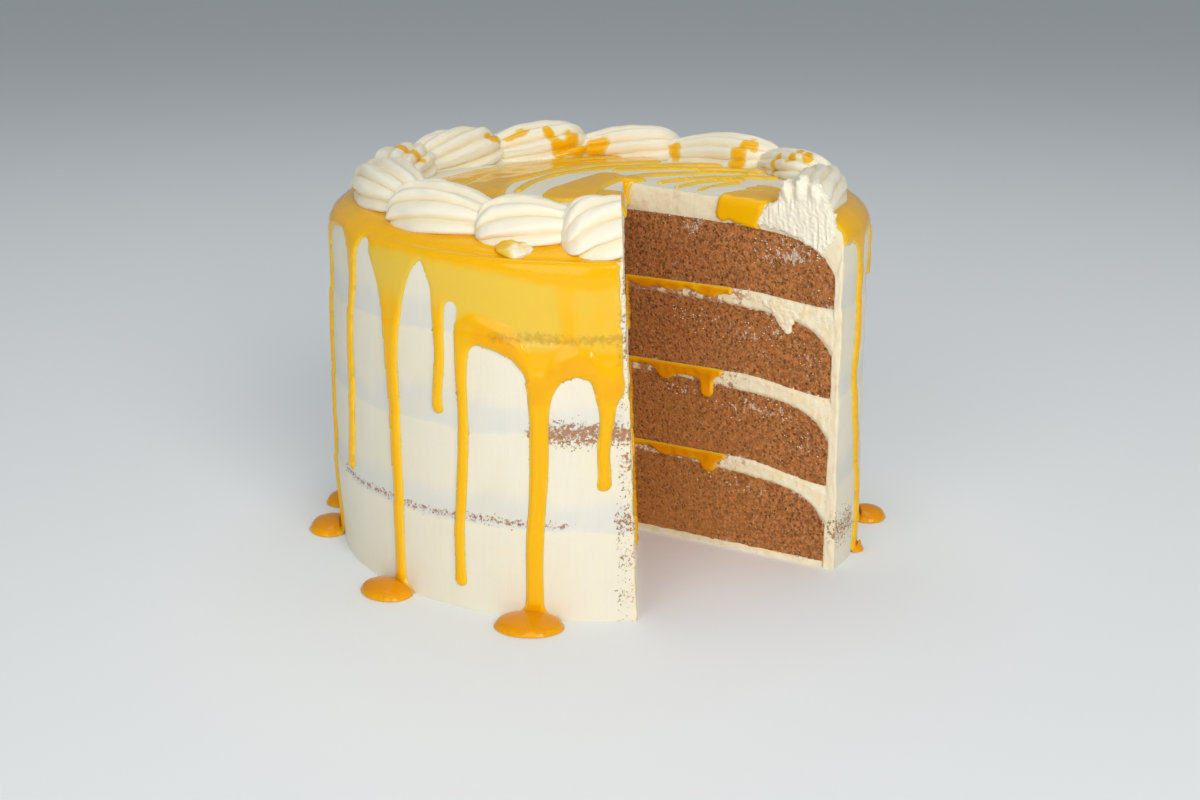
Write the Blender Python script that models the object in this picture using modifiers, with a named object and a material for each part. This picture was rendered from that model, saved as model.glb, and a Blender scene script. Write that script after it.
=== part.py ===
"""Four-layer sponge cake with one wedge taken out.

The sponges are stacked with buttercream and a disc of caramel between them.
A thin buttercream coat goes round the side and over the top, with caramel
running over its rim, and a border of piped shells stands on the top.
Metres, +Z up. The origin is the cake's axis at its flat base.
"""
import math

import bmesh
import bpy
from mathutils import Vector

# Sponge discs: underside, crown and how far the underside sags at the rim
SPONGES = (
    (0.0020, 0.0324, 0.0000),
    (0.0366, 0.0644, 0.0050),
    (0.0690, 0.0959, 0.0045),
    (0.1004, 0.1260, 0.0030),
)
SPONGE_R = 0.0982
CROWN_FALL = 0.0050
CROWN_POWER = 2.2
SHOULDER_FALL = 0.0120
SHOULDER_POWER = 14
SAG_FROM = 0.62
CORNER = 0.0020
# Shares of the radius at which the profiles have a point
TOP_STATIONS = (0.0, 0.5, 0.75, 0.87, 0.94, 0.98, 1.0)
UNDER_STATIONS = (0.98, 0.82, 0.66, 0.0)
ROOF_STATIONS = (0.66, 0.82, 0.98, 1.0)

# Thin cream under the lowest sponge
BASE_CREAM_R = 0.0975
BASE_CREAM_TOP = 0.0016

# Caramel discs in the fillings
CARAMEL_R = 0.0520
CARAMEL_THICK = 0.0016

# Clearances between touching pieces, and how near points count as one
GAP = 0.0003
LAYER_GAP = 0.0004
WELD = 0.00001

# Buttercream coat: outer outline from the middle of the top to the foot
COAT_TOP = (
    (0.0000, 0.1364), (0.0200, 0.1350), (0.0640, 0.1330), (0.0880, 0.1312), (0.0930, 0.1298),
    (0.0968, 0.1278), (0.0994, 0.1248),
)
COAT_WALL = ((0.1006, 0.1200), (0.1016, 0.0400), (0.1022, 0.0000))
COAT_INNER_R = 0.0985
FRONT_DIP = 0.0042
FRONT_DIP_DEG = -100.0
DIP_START_R = 0.020
DIP_FULL_R = 0.085
FOOT_TUCK = 0.0024
FOOT_TUCK_DEG = 172.0
FOOT_TUCK_TOP = 0.034

# Wedge taken out: its corner at the base and its two faces
WEDGE_X = 0.0138
WEDGE_Y = -0.0116
WEDGE_RIGHT_DEG = -30.8
WEDGE_LEFT_DEG = -90.5
WEDGE_LEFT_LEAN = 0.0437
WEDGE_REACH = 0.190
WEDGE_LOW_Z = -0.020
WEDGE_HIGH_Z = 0.200

# Caramel sauce: the collar over the rim, its drips and the pools at the foot
SAUCE_THICK = 0.0009
SAUCE_DEPTH = 0.0022
COLLAR_RINGS = ((0.0860, -0.0003), (0.0905, SAUCE_THICK), (0.0950, SAUCE_THICK), (0.0985, SAUCE_THICK))
COLLAR_START_R = 0.084
COLLAR_RISE = 0.004
COLLAR_SHOULDER_Z = 0.1195
COLLAR_EDGE_Z = 0.1215
COLLAR_SKIRT = 0.002
# Above a drip the sauce's edge hangs in a funnel: depth, and its reach for each metre of half width
FUNNEL_DEPTH = 0.013
FUNNEL_REACH_DEG = 2000.0
DRIP_THICK = 0.0013
DRIP_ROOT_THICK = 0.0006
DRIP_SINK = 0.0012
DRIP_ROOT = 0.005
DRIP_STEP = 0.016
DRIP_BEAD = 1.25
DRIP_TIP = 0.7
DRIP_SWAY_WAVE = 9.0
# Radius at which a drip laid out flat is as wide as on the side
FLAT_R = 0.1014
# Lower edge of the wide sheet beside the wedge: angle, height
SHEET_EDGE = (
    (-119.5, 0.1215), (-117.5, 0.095), (-110.0, 0.093), (-105.5, 0.088), (-102.0, 0.080),
    (-98.0, 0.081), (-94.0, 0.086), (-90.5, 0.083), (-88.5, 0.077), (-84.0, 0.082),
)
# Drips: angle at the rim, angle at the end, height of the end, half width, sway in degrees
DRIPS = (
    (-169.0, -172.0, 0.0008, 0.0022, 0.6),
    (-149.3, -152.0, 0.0340, 0.0021, 0.5),
    (-134.6, -133.2, 0.0008, 0.0026, 0.4),
    (-121.8, -122.4, 0.0680, 0.0021, 0.4),
    (-116.6, -117.8, 0.0070, 0.0022, 0.3),
    (-101.4, -102.3, 0.0008, 0.0031, 0.3),
    (-88.4, -89.2, 0.0450, 0.0023, 0.2),
    (-24.5, -19.5, 0.0008, 0.0021, 1.7),
    (-8.0, -7.0, 0.1020, 0.0024, 0.3),
    (3.0, 1.0, 0.0008, 0.0022, 0.8),
    (24.0, 23.0, 0.0520, 0.0022, 0.6),
    (47.0, 46.0, 0.0180, 0.0023, 0.7),
    (71.0, 72.5, 0.0760, 0.0021, 0.4),
    (88.0, 87.0, 0.0008, 0.0025, 0.8),
    (111.0, 112.0, 0.0610, 0.0021, 0.5),
    (131.0, 130.0, 0.0300, 0.0023, 0.7),
    (152.0, 153.0, 0.0840, 0.0021, 0.3),
    (171.0, 170.0, 0.0008, 0.0022, 0.7),
)
# Pools: angle, outer radius, half width across
POOLS = (
    (-173.0, 0.1160, 0.0125),
    (-134.3, 0.1165, 0.0118),
    (-102.4, 0.1186, 0.0130),
    (-19.5, 0.1058, 0.0042),
    (1.0, 0.1145, 0.0098),
    (87.0, 0.1150, 0.0110),
    (170.4, 0.1150, 0.0100),
)
POOL_INNER_R = 0.0995
POOL_THICK = 0.0016
POOL_TOP_SHARE = 0.8
POOL_SIDES = 16

# Piped shells: where each head starts, going round, its size factor and how far out it sits
SHELL_STARTS = (-34.0, 5.0, 31.0, 65.0, 93.0, 122.0, 152.0, 181.0, 214.0, 241.0, 261.0)
SHELL_SIZES = (0.80, 0.80, 0.94, 1.02, 1.16, 1.14, 0.98, 1.04, 1.05, 1.02, 1.12)
SHELL_OUTWARD = (0.003, 0.002, 0.0, 0.0, 0.0, 0.0, 0.0, 0.0, 0.001, 0.002, 0.0045)
LAST_SHELL_END = 290.0
SHELL_RING_R = 0.0795
SHELL_HALF_WIDTH = 0.0158
SHELL_HEIGHT = 0.0125
SHELL_LIFT = 0.0018
SHELL_OVERLAP_DEG = 9.0
SHELL_SIDES = 16
SHELL_RINGS = 9
SHELL_ROUNDNESS = 0.6
SHELL_TAPER = 0.42
SHELL_TAPER_POWER = 1.4
SHELL_GROOVE = 0.15
SHELL_TWIST = 0.9
SHELL_TWIST_FROM = 0.3
SHELL_SIT = 0.22
SHELL_CLEAR = 0.0005
TRIM = 0.0004

# Facets round the axis, and the angle past which an edge is sharp
LAYER_STEPS = 28
COAT_STEPS = 64
COLLAR_STEPS = 96
SHARP_ANGLE = math.radians(40.0)

# Colours (linear) and finish
SPONGE_BROWN = (0.235, 0.085, 0.026)
CREAM_WHITE = (0.82, 0.74, 0.60)
CARAMEL_GOLD = (0.80, 0.36, 0.02)

for old in list(bpy.data.objects):
    bpy.data.objects.remove(old, do_unlink=True)

scene = bpy.context.scene
parts = bpy.data.collections.new("layer_cake")
cutters = bpy.data.collections.new("cutters")
toppings = bpy.data.collections.new("sauce_to_join")
for group in (parts, cutters, toppings):
    scene.collection.children.link(group)


def make_material(name, colour, roughness):
    mat = bpy.data.materials.new(name)
    mat.use_nodes = True
    bsdf = mat.node_tree.nodes["Principled BSDF"]
    bsdf.inputs["Base Color"].default_value = (*colour, 1.0)
    bsdf.inputs["Roughness"].default_value = roughness
    bsdf.inputs["Metallic"].default_value = 0.0
    mat.diffuse_color = (*colour, 1.0)
    return mat


def interpolate(points, x):
    """Height at x on a line through points sorted by x."""
    if x <= points[0][0]:
        return points[0][1]
    for (x0, y0), (x1, y1) in zip(points, points[1:]):
        if x <= x1:
            return y0 + (y1 - y0) * (x - x0) / (x1 - x0)
    return points[-1][1]


def smooth(t):
    t = max(0.0, min(1.0, t))
    return t * t * (3.0 - 2.0 * t)


def angle_between(a, b):
    """Signed difference of two angles in degrees, within half a turn."""
    return (a - b + 180.0) % 360.0 - 180.0


# Profiles of the layers


def sponge_top(index, u):
    """Crowned top of a sponge at u, the share of its radius."""
    return SPONGES[index][1] - CROWN_FALL * u ** CROWN_POWER - SHOULDER_FALL * u ** SHOULDER_POWER


def sponge_under(index, u):
    """Underside of a sponge, which sags towards the rim."""
    bottom, _, sag = SPONGES[index]
    return bottom - sag * smooth((u - SAG_FROM) / (1.0 - SAG_FROM))


def coat_top(r, deg):
    """Height of the coat's top, which dips a little along its front rim."""
    near_rim = smooth((r - DIP_START_R) / (DIP_FULL_R - DIP_START_R))
    facing = max(0.0, math.cos(math.radians(deg - FRONT_DIP_DEG))) ** 2
    return interpolate(COAT_TOP, r) - FRONT_DIP * near_rim * facing


def coat_wall(z, deg):
    """Radius of the coat's side, which tucks in at its foot on the left."""
    rising = sorted((height, radius) for radius, height in COAT_WALL)
    near_foot = smooth(1.0 - z / FOOT_TUCK_TOP)
    facing = max(0.0, math.cos(math.radians(deg - FOOT_TUCK_DEG))) ** 2
    return interpolate(rising, z) - FOOT_TUCK * near_foot * facing


def place(r, deg, z):
    angle = math.radians(deg)
    return Vector((r * math.cos(angle), r * math.sin(angle), z))


# Building blocks


def link_mesh(name, mesh, group, mat=None):
    obj = bpy.data.objects.new(name, mesh)
    group.objects.link(obj)
    if mat:
        mesh.materials.clear()
        mesh.materials.append(mat)
    return obj


def evaluated_mesh(obj):
    depsgraph = bpy.context.evaluated_depsgraph_get()
    return bpy.data.meshes.new_from_object(obj.evaluated_get(depsgraph))


def apply_modifiers(obj):
    mesh = evaluated_mesh(obj)
    obj.modifiers.clear()
    obj.data = mesh


def add_turned(name, profile, steps, group, mat):
    """Turn a profile of (radius, height) points round the axis."""
    mesh = bpy.data.meshes.new(name)
    bm = bmesh.new()
    verts = [bm.verts.new((r, 0.0, z)) for r, z in profile]
    for first, second in zip(verts, verts[1:]):
        bm.edges.new((first, second))
    bm.to_mesh(mesh)
    bm.free()
    obj = link_mesh(name, mesh, group, mat)
    screw = obj.modifiers.new("Turn", "SCREW")
    screw.axis = "Z"
    screw.angle = math.tau
    screw.steps = steps
    screw.render_steps = steps
    screw.use_merge_vertices = True
    screw.merge_threshold = WELD
    screw.use_smooth_shade = True
    return obj


def cut(obj, cutter):
    mod = obj.modifiers.new("Cut", "BOOLEAN")
    mod.operation = "DIFFERENCE"
    mod.object = cutter
    mod.solver = "EXACT"
    apply_modifiers(obj)
    obj.data.set_sharp_from_angle(angle=SHARP_ANGLE)


def finish_shape(bm, obj):
    """Face the shape outwards and hand it over to its object."""
    bmesh.ops.recalc_face_normals(bm, faces=bm.faces)
    if bm.calc_volume(signed=True) < 0.0:
        bmesh.ops.reverse_faces(bm, faces=bm.faces)
    bm.to_mesh(obj.data)
    bm.free()
    obj.data.shade_smooth()


# The wedge that is taken out


def wedge_corners(z):
    """Corners of the wedge at one height: its right face is upright, its left one leans."""
    right = math.radians(WEDGE_RIGHT_DEG)
    left = math.radians(WEDGE_LEFT_DEG)
    shift = -WEDGE_LEFT_LEAN * z
    apex = Vector((WEDGE_X + shift, WEDGE_Y + shift * math.tan(right), z))
    to_right = Vector((math.cos(right), math.sin(right), 0.0)) * WEDGE_REACH
    to_left = Vector((math.cos(left), math.sin(left), 0.0)) * WEDGE_REACH
    return apex, apex + to_left, apex + to_right


def add_wedge_cutter():
    """Three-sided prism between two unlike triangles."""
    bm = bmesh.new()
    low = [bm.verts.new(corner) for corner in wedge_corners(WEDGE_LOW_Z)]
    high = [bm.verts.new(corner) for corner in wedge_corners(WEDGE_HIGH_Z)]
    bm.faces.new(low)
    bm.faces.new(high)
    for here in range(3):
        after = (here + 1) % 3
        bm.faces.new((low[here], low[after], high[after], high[here]))
    bmesh.ops.recalc_face_normals(bm, faces=bm.faces)
    mesh = bpy.data.meshes.new("wedge_cutter")
    bm.to_mesh(mesh)
    bm.free()
    obj = link_mesh("wedge_cutter", mesh, cutters)
    obj.hide_render = True
    obj.display_type = "WIRE"
    return obj


wedge = add_wedge_cutter()
sponge_mat = make_material("sponge", SPONGE_BROWN, 0.9)
cream_mat = make_material("buttercream", CREAM_WHITE, 0.5)
caramel_mat = make_material("caramel", CARAMEL_GOLD, 0.15)


# Base cream, sponges and fillings


def add_base_cream():
    profile = ((0.0, BASE_CREAM_TOP), (BASE_CREAM_R, BASE_CREAM_TOP), (BASE_CREAM_R, 0.0), (0.0, 0.0))
    cut(add_turned("base_cream", profile, LAYER_STEPS, parts, cream_mat), wedge)


def add_sponge(index):
    profile = [(SPONGE_R * u, sponge_top(index, u)) for u in TOP_STATIONS]
    profile.append((SPONGE_R, sponge_under(index, 1.0) + CORNER))
    profile += [(SPONGE_R * u, sponge_under(index, u)) for u in UNDER_STATIONS]
    cut(add_turned("sponge_%d" % (index + 1), profile, LAYER_STEPS, parts, sponge_mat), wedge)


def add_filling(index):
    """Cream between two sponges, recessed in the middle for a caramel disc."""
    roof = sponge_under(index + 1, 0.0) - LAYER_GAP
    recess = roof - CARAMEL_THICK - LAYER_GAP
    profile = [(0.0, recess), (CARAMEL_R, recess), (CARAMEL_R, roof)]
    for u in ROOF_STATIONS:
        profile.append((SPONGE_R * u, sponge_under(index + 1, u) - LAYER_GAP))
    for u in reversed(TOP_STATIONS):
        profile.append((SPONGE_R * u, sponge_top(index, u) + LAYER_GAP))
    number = index + 1
    cut(add_turned("filling_cream_%d" % number, profile, LAYER_STEPS, parts, cream_mat), wedge)

    radius = CARAMEL_R - LAYER_GAP
    disc = ((0.0, roof), (radius, roof), (radius, roof - CARAMEL_THICK), (0.0, roof - CARAMEL_THICK))
    cut(add_turned("filling_caramel_%d" % number, disc, LAYER_STEPS, parts, caramel_mat), wedge)


# Buttercream coat with the caramel sauce fused on


def add_coat():
    inner = [(SPONGE_R * u, sponge_top(3, u) + LAYER_GAP) for u in TOP_STATIONS[:-1]]
    inner.append((COAT_INNER_R, sponge_top(3, 1.0) + LAYER_GAP))
    inner.append((COAT_INNER_R, 0.0))
    profile = list(COAT_TOP) + list(COAT_WALL) + inner[::-1]
    coat = add_turned("buttercream_coat", profile, COAT_STEPS, parts, cream_mat)
    apply_modifiers(coat)
    outer_top = {round(r, 5) for r, _ in COAT_TOP}
    for vert in coat.data.vertices:
        r = math.hypot(vert.co.x, vert.co.y)
        deg = math.degrees(math.atan2(vert.co.y, vert.co.x))
        if round(r, 5) in outer_top and vert.co.z > interpolate(COAT_TOP, r) - GAP:
            vert.co.z = coat_top(r, deg)
        elif r > COAT_INNER_R + GAP:
            vert.co = place(coat_wall(vert.co.z, deg), deg, vert.co.z)
    return coat


def sauce_edge(deg):
    """Height of the collar's lower edge, with a funnel over each drip."""
    turned = angle_between(deg, 0.0)
    if SHEET_EDGE[0][0] <= turned <= SHEET_EDGE[-1][0]:
        return interpolate(SHEET_EDGE, turned)
    edge = COLLAR_EDGE_Z
    for rim_deg, _, _, half_width, _ in DRIPS:
        reach = angle_between(deg, rim_deg) / (FUNNEL_REACH_DEG * half_width)
        edge -= FUNNEL_DEPTH * math.exp(-reach * reach)
    return edge


def add_collar():
    """Skin of sauce over the rim: a band of rings bent onto the coat."""
    rows = len(COLLAR_RINGS) + 3
    band = [(1.0, float(row)) for row in range(rows, 0, -1)]
    collar = add_turned("collar", band, COLLAR_STEPS, toppings, None)
    apply_modifiers(collar)
    for vert in collar.data.vertices:
        deg = math.degrees(math.atan2(vert.co.y, vert.co.x))
        row = rows - round(vert.co.z)
        if row < len(COLLAR_RINGS):
            r, proud = COLLAR_RINGS[row]
            vert.co = place(r + proud * row / len(COLLAR_RINGS), deg, coat_top(r, deg) + proud)
            continue
        low = sauce_edge(deg)
        high = max(COLLAR_SHOULDER_Z, low + COLLAR_SKIRT)
        share = (row - len(COLLAR_RINGS)) / 2.0
        z = high + (low - high) * share
        vert.co = place(coat_wall(z, deg) + SAUCE_THICK, deg, z)
    shell = collar.modifiers.new("Thickness", "SOLIDIFY")
    shell.thickness = SAUCE_DEPTH
    shell.offset = -1.0
    apply_modifiers(collar)


def add_drip(number, rim_deg, end_deg, end_z, half_width, sway):
    """A run of sauce: a tube laid out flat, flattened and bent onto the side."""
    edge = sauce_edge(rim_deg)
    top_z = edge + DRIP_ROOT
    count = max(3, int((top_z - end_z) / DRIP_STEP) + 1)
    curve = bpy.data.curves.new("drip", "CURVE")
    curve.dimensions = "3D"
    curve.bevel_depth = half_width
    curve.bevel_resolution = 1
    curve.use_fill_caps = True
    line = curve.splines.new("POLY")
    line.points.add(count - 1)
    for step, point in enumerate(line.points):
        share = step / (count - 1)
        deg = rim_deg + (end_deg - rim_deg) * share + sway * math.sin(share * DRIP_SWAY_WAVE + number)
        point.co = (math.radians(deg) * FLAT_R, 0.0, top_z + (end_z - top_z) * share, 1.0)
        point.radius = 1.0
    line.points[-2].radius = DRIP_BEAD
    line.points[-1].radius = DRIP_TIP
    bent = bpy.data.objects.new("drip_curve", curve)
    toppings.objects.link(bent)
    mesh = evaluated_mesh(bent)
    bpy.data.objects.remove(bent, do_unlink=True)
    drip = link_mesh("drip_%02d" % number, mesh, toppings)
    bm = bmesh.new()
    bm.from_mesh(mesh)
    bmesh.ops.remove_doubles(bm, verts=bm.verts, dist=WELD)
    for vert in bm.verts:
        deg = math.degrees(vert.co.x / FLAT_R)
        z = max(0.0, vert.co.z)
        thick = DRIP_THICK if z < edge else DRIP_ROOT_THICK
        out = max(-DRIP_SINK, min(thick, -vert.co.y))
        vert.co = place(coat_wall(z, deg) + out, deg, z)
    finish_shape(bm, drip)


def add_pool(number, deg, outer_r, half_width):
    """A flat round pool that spreads from the foot of a drip."""
    depth = (outer_r - POOL_INNER_R) / 2.0
    bm = bmesh.new()
    bmesh.ops.create_cone(
        bm, cap_ends=True, segments=POOL_SIDES, radius1=1.0, radius2=POOL_TOP_SHARE, depth=POOL_THICK)
    bmesh.ops.scale(bm, verts=bm.verts, vec=(depth, half_width, 1.0))
    bmesh.ops.translate(bm, verts=bm.verts, vec=(POOL_INNER_R + depth, 0.0, POOL_THICK / 2.0))
    for vert in bm.verts:
        vert.co = place(vert.co.x, deg + math.degrees(vert.co.y / outer_r), vert.co.z)
    pool = link_mesh("pool_%02d" % number, bpy.data.meshes.new("pool"), toppings)
    finish_shape(bm, pool)


def join_sauce(coat):
    """Join the collar, drips and pools to the coat as one body."""
    mod = coat.modifiers.new("Join", "BOOLEAN")
    mod.operation = "UNION"
    mod.operand_type = "COLLECTION"
    mod.collection = toppings
    mod.solver = "EXACT"
    apply_modifiers(coat)
    for obj in list(toppings.objects):
        bpy.data.objects.remove(obj, do_unlink=True)
    cut(coat, wedge)


# Piped shells


def sauced_top(r, deg):
    """Top of the coat with the collar of sauce on its rim."""
    return coat_top(r, deg) + SAUCE_THICK * smooth((r - COLLAR_START_R) / COLLAR_RISE)


def shell_girth(share):
    """Fat round head that tapers to the tail."""
    taper = 1.0 - SHELL_TAPER * share ** SHELL_TAPER_POWER
    return math.sin(math.pi * share) ** SHELL_ROUNDNESS * taper


def shape_shell(bm, start, end, size, ring_r, grow):
    """Bend a ball, with its poles at head and tail, into a ridged shell."""
    for vert in bm.verts:
        share = math.acos(max(-1.0, min(1.0, vert.co.z))) / math.pi
        around = math.atan2(vert.co.y, vert.co.x)
        ridge = round(around * SHELL_SIDES / math.tau) % 2
        girth = shell_girth(share) * (1.0 - SHELL_GROOVE * ridge) * size
        around += SHELL_TWIST * (share - SHELL_TWIST_FROM)
        deg = start + (end - start) * (0.5 - 0.5 * math.cos(math.pi * share))
        deg += math.copysign(math.degrees(grow / ring_r), share - 0.5)
        across = (SHELL_HALF_WIDTH * girth + grow) * math.cos(around)
        rise = SHELL_LIFT + SHELL_HEIGHT * girth * (SHELL_SIT + math.sin(around))
        r = ring_r + across
        floor = sauced_top(r, deg) + SHELL_CLEAR - 2.0 * grow
        vert.co = place(r, deg, floor + max(0.0, rise + 3.0 * grow))


def add_shell_body(name, index, group, grow):
    ends = SHELL_STARTS[1:] + (LAST_SHELL_END - SHELL_OVERLAP_DEG,)
    bm = bmesh.new()
    bmesh.ops.create_uvsphere(bm, u_segments=SHELL_SIDES, v_segments=SHELL_RINGS, radius=1.0)
    end = ends[index] + SHELL_OVERLAP_DEG
    ring_r = SHELL_RING_R + SHELL_OUTWARD[index]
    shape_shell(bm, SHELL_STARTS[index], end, SHELL_SIZES[index], ring_r, grow)
    obj = link_mesh(name, bpy.data.meshes.new(name), group, cream_mat)
    finish_shape(bm, obj)
    return obj


def add_shells():
    """Each head covers the tail before it, so that tail is cut back to it."""
    count = len(SHELL_STARTS)
    for index in range(count):
        shell = add_shell_body("shell_%02d" % (index + 1), index, parts, 0.0)
        if index + 1 < count:
            head = add_shell_body("head_cutter_%02d" % (index + 2), index + 1, cutters, TRIM)
            head.hide_render = True
            head.display_type = "WIRE"
            cut(shell, head)
        if index in (0, count - 1, count - 2):
            cut(shell, wedge)


add_base_cream()
for layer in range(len(SPONGES)):
    add_sponge(layer)
for layer in range(len(SPONGES) - 1):
    add_filling(layer)
coat_body = add_coat()
add_collar()
for number, drip_values in enumerate(DRIPS):
    add_drip(number, *drip_values)
for number, pool_values in enumerate(POOLS):
    add_pool(number, *pool_values)
join_sauce(coat_body)
add_shells()
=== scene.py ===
"""Dresses the layer cake: open crumb, buttercream, piped shells and caramel sauce.

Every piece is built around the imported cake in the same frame. Metres, +Z up.
Pieces that run through the cake are sections swept round the corner of the cut wedge.
Sauce is laid on a surface, inside an outline that a field gives: below zero is inside.
"""

import math
import random

import bmesh
import bpy
from mathutils import Matrix, Vector, noise


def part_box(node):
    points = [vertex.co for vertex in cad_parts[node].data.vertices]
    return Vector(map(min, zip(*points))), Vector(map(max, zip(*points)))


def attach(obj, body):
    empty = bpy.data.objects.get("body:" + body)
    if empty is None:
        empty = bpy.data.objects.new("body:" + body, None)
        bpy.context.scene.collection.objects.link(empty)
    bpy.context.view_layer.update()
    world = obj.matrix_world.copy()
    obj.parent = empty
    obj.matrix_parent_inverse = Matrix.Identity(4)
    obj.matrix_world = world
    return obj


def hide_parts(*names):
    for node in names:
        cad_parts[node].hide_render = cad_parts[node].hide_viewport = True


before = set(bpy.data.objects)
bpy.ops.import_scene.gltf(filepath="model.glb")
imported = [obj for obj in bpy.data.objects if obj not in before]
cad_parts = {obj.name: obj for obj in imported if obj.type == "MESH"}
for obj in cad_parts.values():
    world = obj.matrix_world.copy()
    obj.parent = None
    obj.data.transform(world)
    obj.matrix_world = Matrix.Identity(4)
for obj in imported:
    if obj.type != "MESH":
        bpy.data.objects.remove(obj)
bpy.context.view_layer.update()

bl_info = {
    "name": "Layer Cake",
    "version": (1, 0, 0),
    "blender": (4, 5, 0),
    "location": "3D View > Sidebar > Cake",
    "description": "Crumb, buttercream, piped shells and caramel sauce for a cut layer cake",
    "category": "Mesh",
}

# The cut wedge: its corner at the base, the directions of its faces, and the left one's lean
CORNER_X = 0.0138
CORNER_Y = -0.0116
RIGHT = math.radians(-30.8)
LEFT = math.radians(269.5)
LEAN = 0.0437
MIDDLE_Z = 0.070

# Sponges from the lowest up: sag of the underside at the rim
SPONGE_SAGS = (0.0, 0.0050, 0.0045, 0.0030)
SPONGE_R = 0.0982
CROWN_FALL = 0.0050
CROWN_POWER = 2.2
SHOULDER_FALL = 0.0120
SHOULDER_POWER = 14
SAG_FROM = 0.62
CARAMEL_R = 0.0516
CARAMEL_THICK = 0.0020

# Coat: height over radius on the top, radius over height on the side
COAT_TOP = (
    (0.0000, 0.1364), (0.0200, 0.1350), (0.0640, 0.1330), (0.0880, 0.1312), (0.0930, 0.1298),
    (0.0968, 0.1278), (0.0994, 0.1248),
)
COAT_WALL = ((0.0000, 0.1022), (0.0400, 0.1016), (0.1200, 0.1006), (0.1248, 0.0994))
RIM_R = 0.0994
RIM_Z = 0.1248
COAT_INNER_R = 0.0978
TOP_ROUNDING = 0.0016
WALL_ROUNDING = 0.0024
FRONT_DIP = 0.0042
FRONT_DIP_FROM_R = 0.020
FRONT_DIP_OVER = 0.065
FRONT_DIP_DEG = -100.0
FOOT_TUCK = 0.0024
FOOT_TUCK_DEG = 172.0
FOOT_TUCK_TOP = 0.034
# How far up the coat stays thin over a sponge's edge
THIN_REACH = 0.020
THIN_DEPTH = 0.00035

# Spatula sweeps on the top run round this point
SWEEP_X = 0.060
SWEEP_Y = -0.050
# The spatula's ridges: how far they reach, their spacing and height, and the height of the lumps
SWIRL_R = 0.082
RIDGE_SPACING = 0.0013
RIDGE_HEIGHT = 0.00016
LUMP_HEIGHT = 0.00040

# Sauce on the side: radius that angles are measured on, and where the collar starts
SAUCE_R = 0.1014
COLLAR_START_R = 0.0830
SAUCE_CELL = 0.00088
SAUCE_FROM_DEG = -34.0
SAUCE_TO_DEG = 278.0
SAUCE_ON_GROUND = 0.0185
# Lower edge of the collar and of the wide sheet: angle, height
SAUCE_EDGE = (
    (-172.0, 0.1215), (-164.0, 0.1225), (-156.0, 0.1240), (-151.4, 0.1205), (-146.0, 0.1235),
    (-142.0, 0.1250), (-139.5, 0.1205), (-130.5, 0.1185), (-128.0, 0.1205), (-126.4, 0.1210),
    (-124.8, 0.1160), (-122.7, 0.1125), (-120.5, 0.1095), (-118.7, 0.1080), (-118.2, 0.1070),
    (-118.0, 0.0950), (-113.9, 0.0946), (-109.7, 0.0930), (-106.5, 0.0905), (-104.3, 0.0862),
    (-103.0, 0.0805), (-102.4, 0.0770), (-99.6, 0.0770), (-99.0, 0.0800), (-97.0, 0.0838),
    (-94.0, 0.0858), (-91.4, 0.0845), (-89.6, 0.0790), (-87.4, 0.0780), (-86.0, 0.0800), (-80.0, 0.0800),
)
EDGE_Z = 0.1205
# Top of the thin sheet: angle, height
SHEET_TOP = ((-150.0, 0.1220), (-127.0, 0.1225), (-112.0, 0.1196), (-98.0, 0.1168), (-84.0, 0.1160))
SHEET_FROM_DEG = -146.0
SHEET_TO_DEG = -84.5
SHEET_EDGE_LOW = 0.085
SHEET_EDGE_HIGH = 0.094
SHEET_ABOVE_EDGE = 0.0085
SHEET_SOFT = 0.0056
SHEET_THINNEST = 0.00032
SHEET_THICKEST = 0.00047
# The swollen lip of the collar: angles between which it runs, and how thick it stands
LIP_FROM_DEG = -116.0
LIP_TO_DEG = -80.0
LIP_DEPTH = 0.0015
# Left of this angle the sheet and the drips thicken slowly
SLOW_DEG = -120.0
DRIP_TOP_Z = 0.113
DRIP_WITHIN_DEG = 14.0
POOLED_END_Z = -0.008
# Drips: angle at the rim and at the end, height of the end, half width, sway, flare at the top, its fall
DRIPS = (
    (-169.0, -172.0, 0.0000, 0.0021, 0.6, 0.0040, 0.008),
    (-149.3, -152.2, 0.0362, 0.0020, 0.5, 0.0034, 0.006),
    (-135.2, -133.2, 0.0000, 0.0025, 0.3, 0.0105, 0.014),
    (-122.0, -122.4, 0.0690, 0.0020, 0.3, 0.0016, 0.008),
    (-116.6, -117.8, 0.0085, 0.0021, 0.3, 0.0010, 0.006),
    (-101.1, -102.4, 0.0000, 0.0030, 0.2, 0.0010, 0.009),
    (-88.5, -89.2, 0.0472, 0.0021, 0.2, 0.0016, 0.006),
    (-24.5, -19.5, 0.0008, 0.0021, 1.7, 0.0030, 0.006),
    (-8.0, -7.0, 0.1020, 0.0024, 0.3, 0.0040, 0.008),
    (3.0, 1.0, 0.0000, 0.0021, 0.8, 0.0040, 0.008),
    (24.0, 23.0, 0.0535, 0.0021, 0.6, 0.0050, 0.008),
    (47.0, 46.0, 0.0195, 0.0022, 0.7, 0.0060, 0.010),
    (71.0, 72.5, 0.0775, 0.0020, 0.4, 0.0040, 0.007),
    (88.0, 87.0, 0.0000, 0.0024, 0.8, 0.0060, 0.010),
    (111.0, 112.0, 0.0625, 0.0020, 0.5, 0.0040, 0.007),
    (131.0, 130.0, 0.0315, 0.0022, 0.7, 0.0060, 0.009),
    (152.0, 153.0, 0.0855, 0.0020, 0.3, 0.0040, 0.007),
    (171.0, 170.0, 0.0000, 0.0021, 0.7, 0.0050, 0.008),
)
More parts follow.
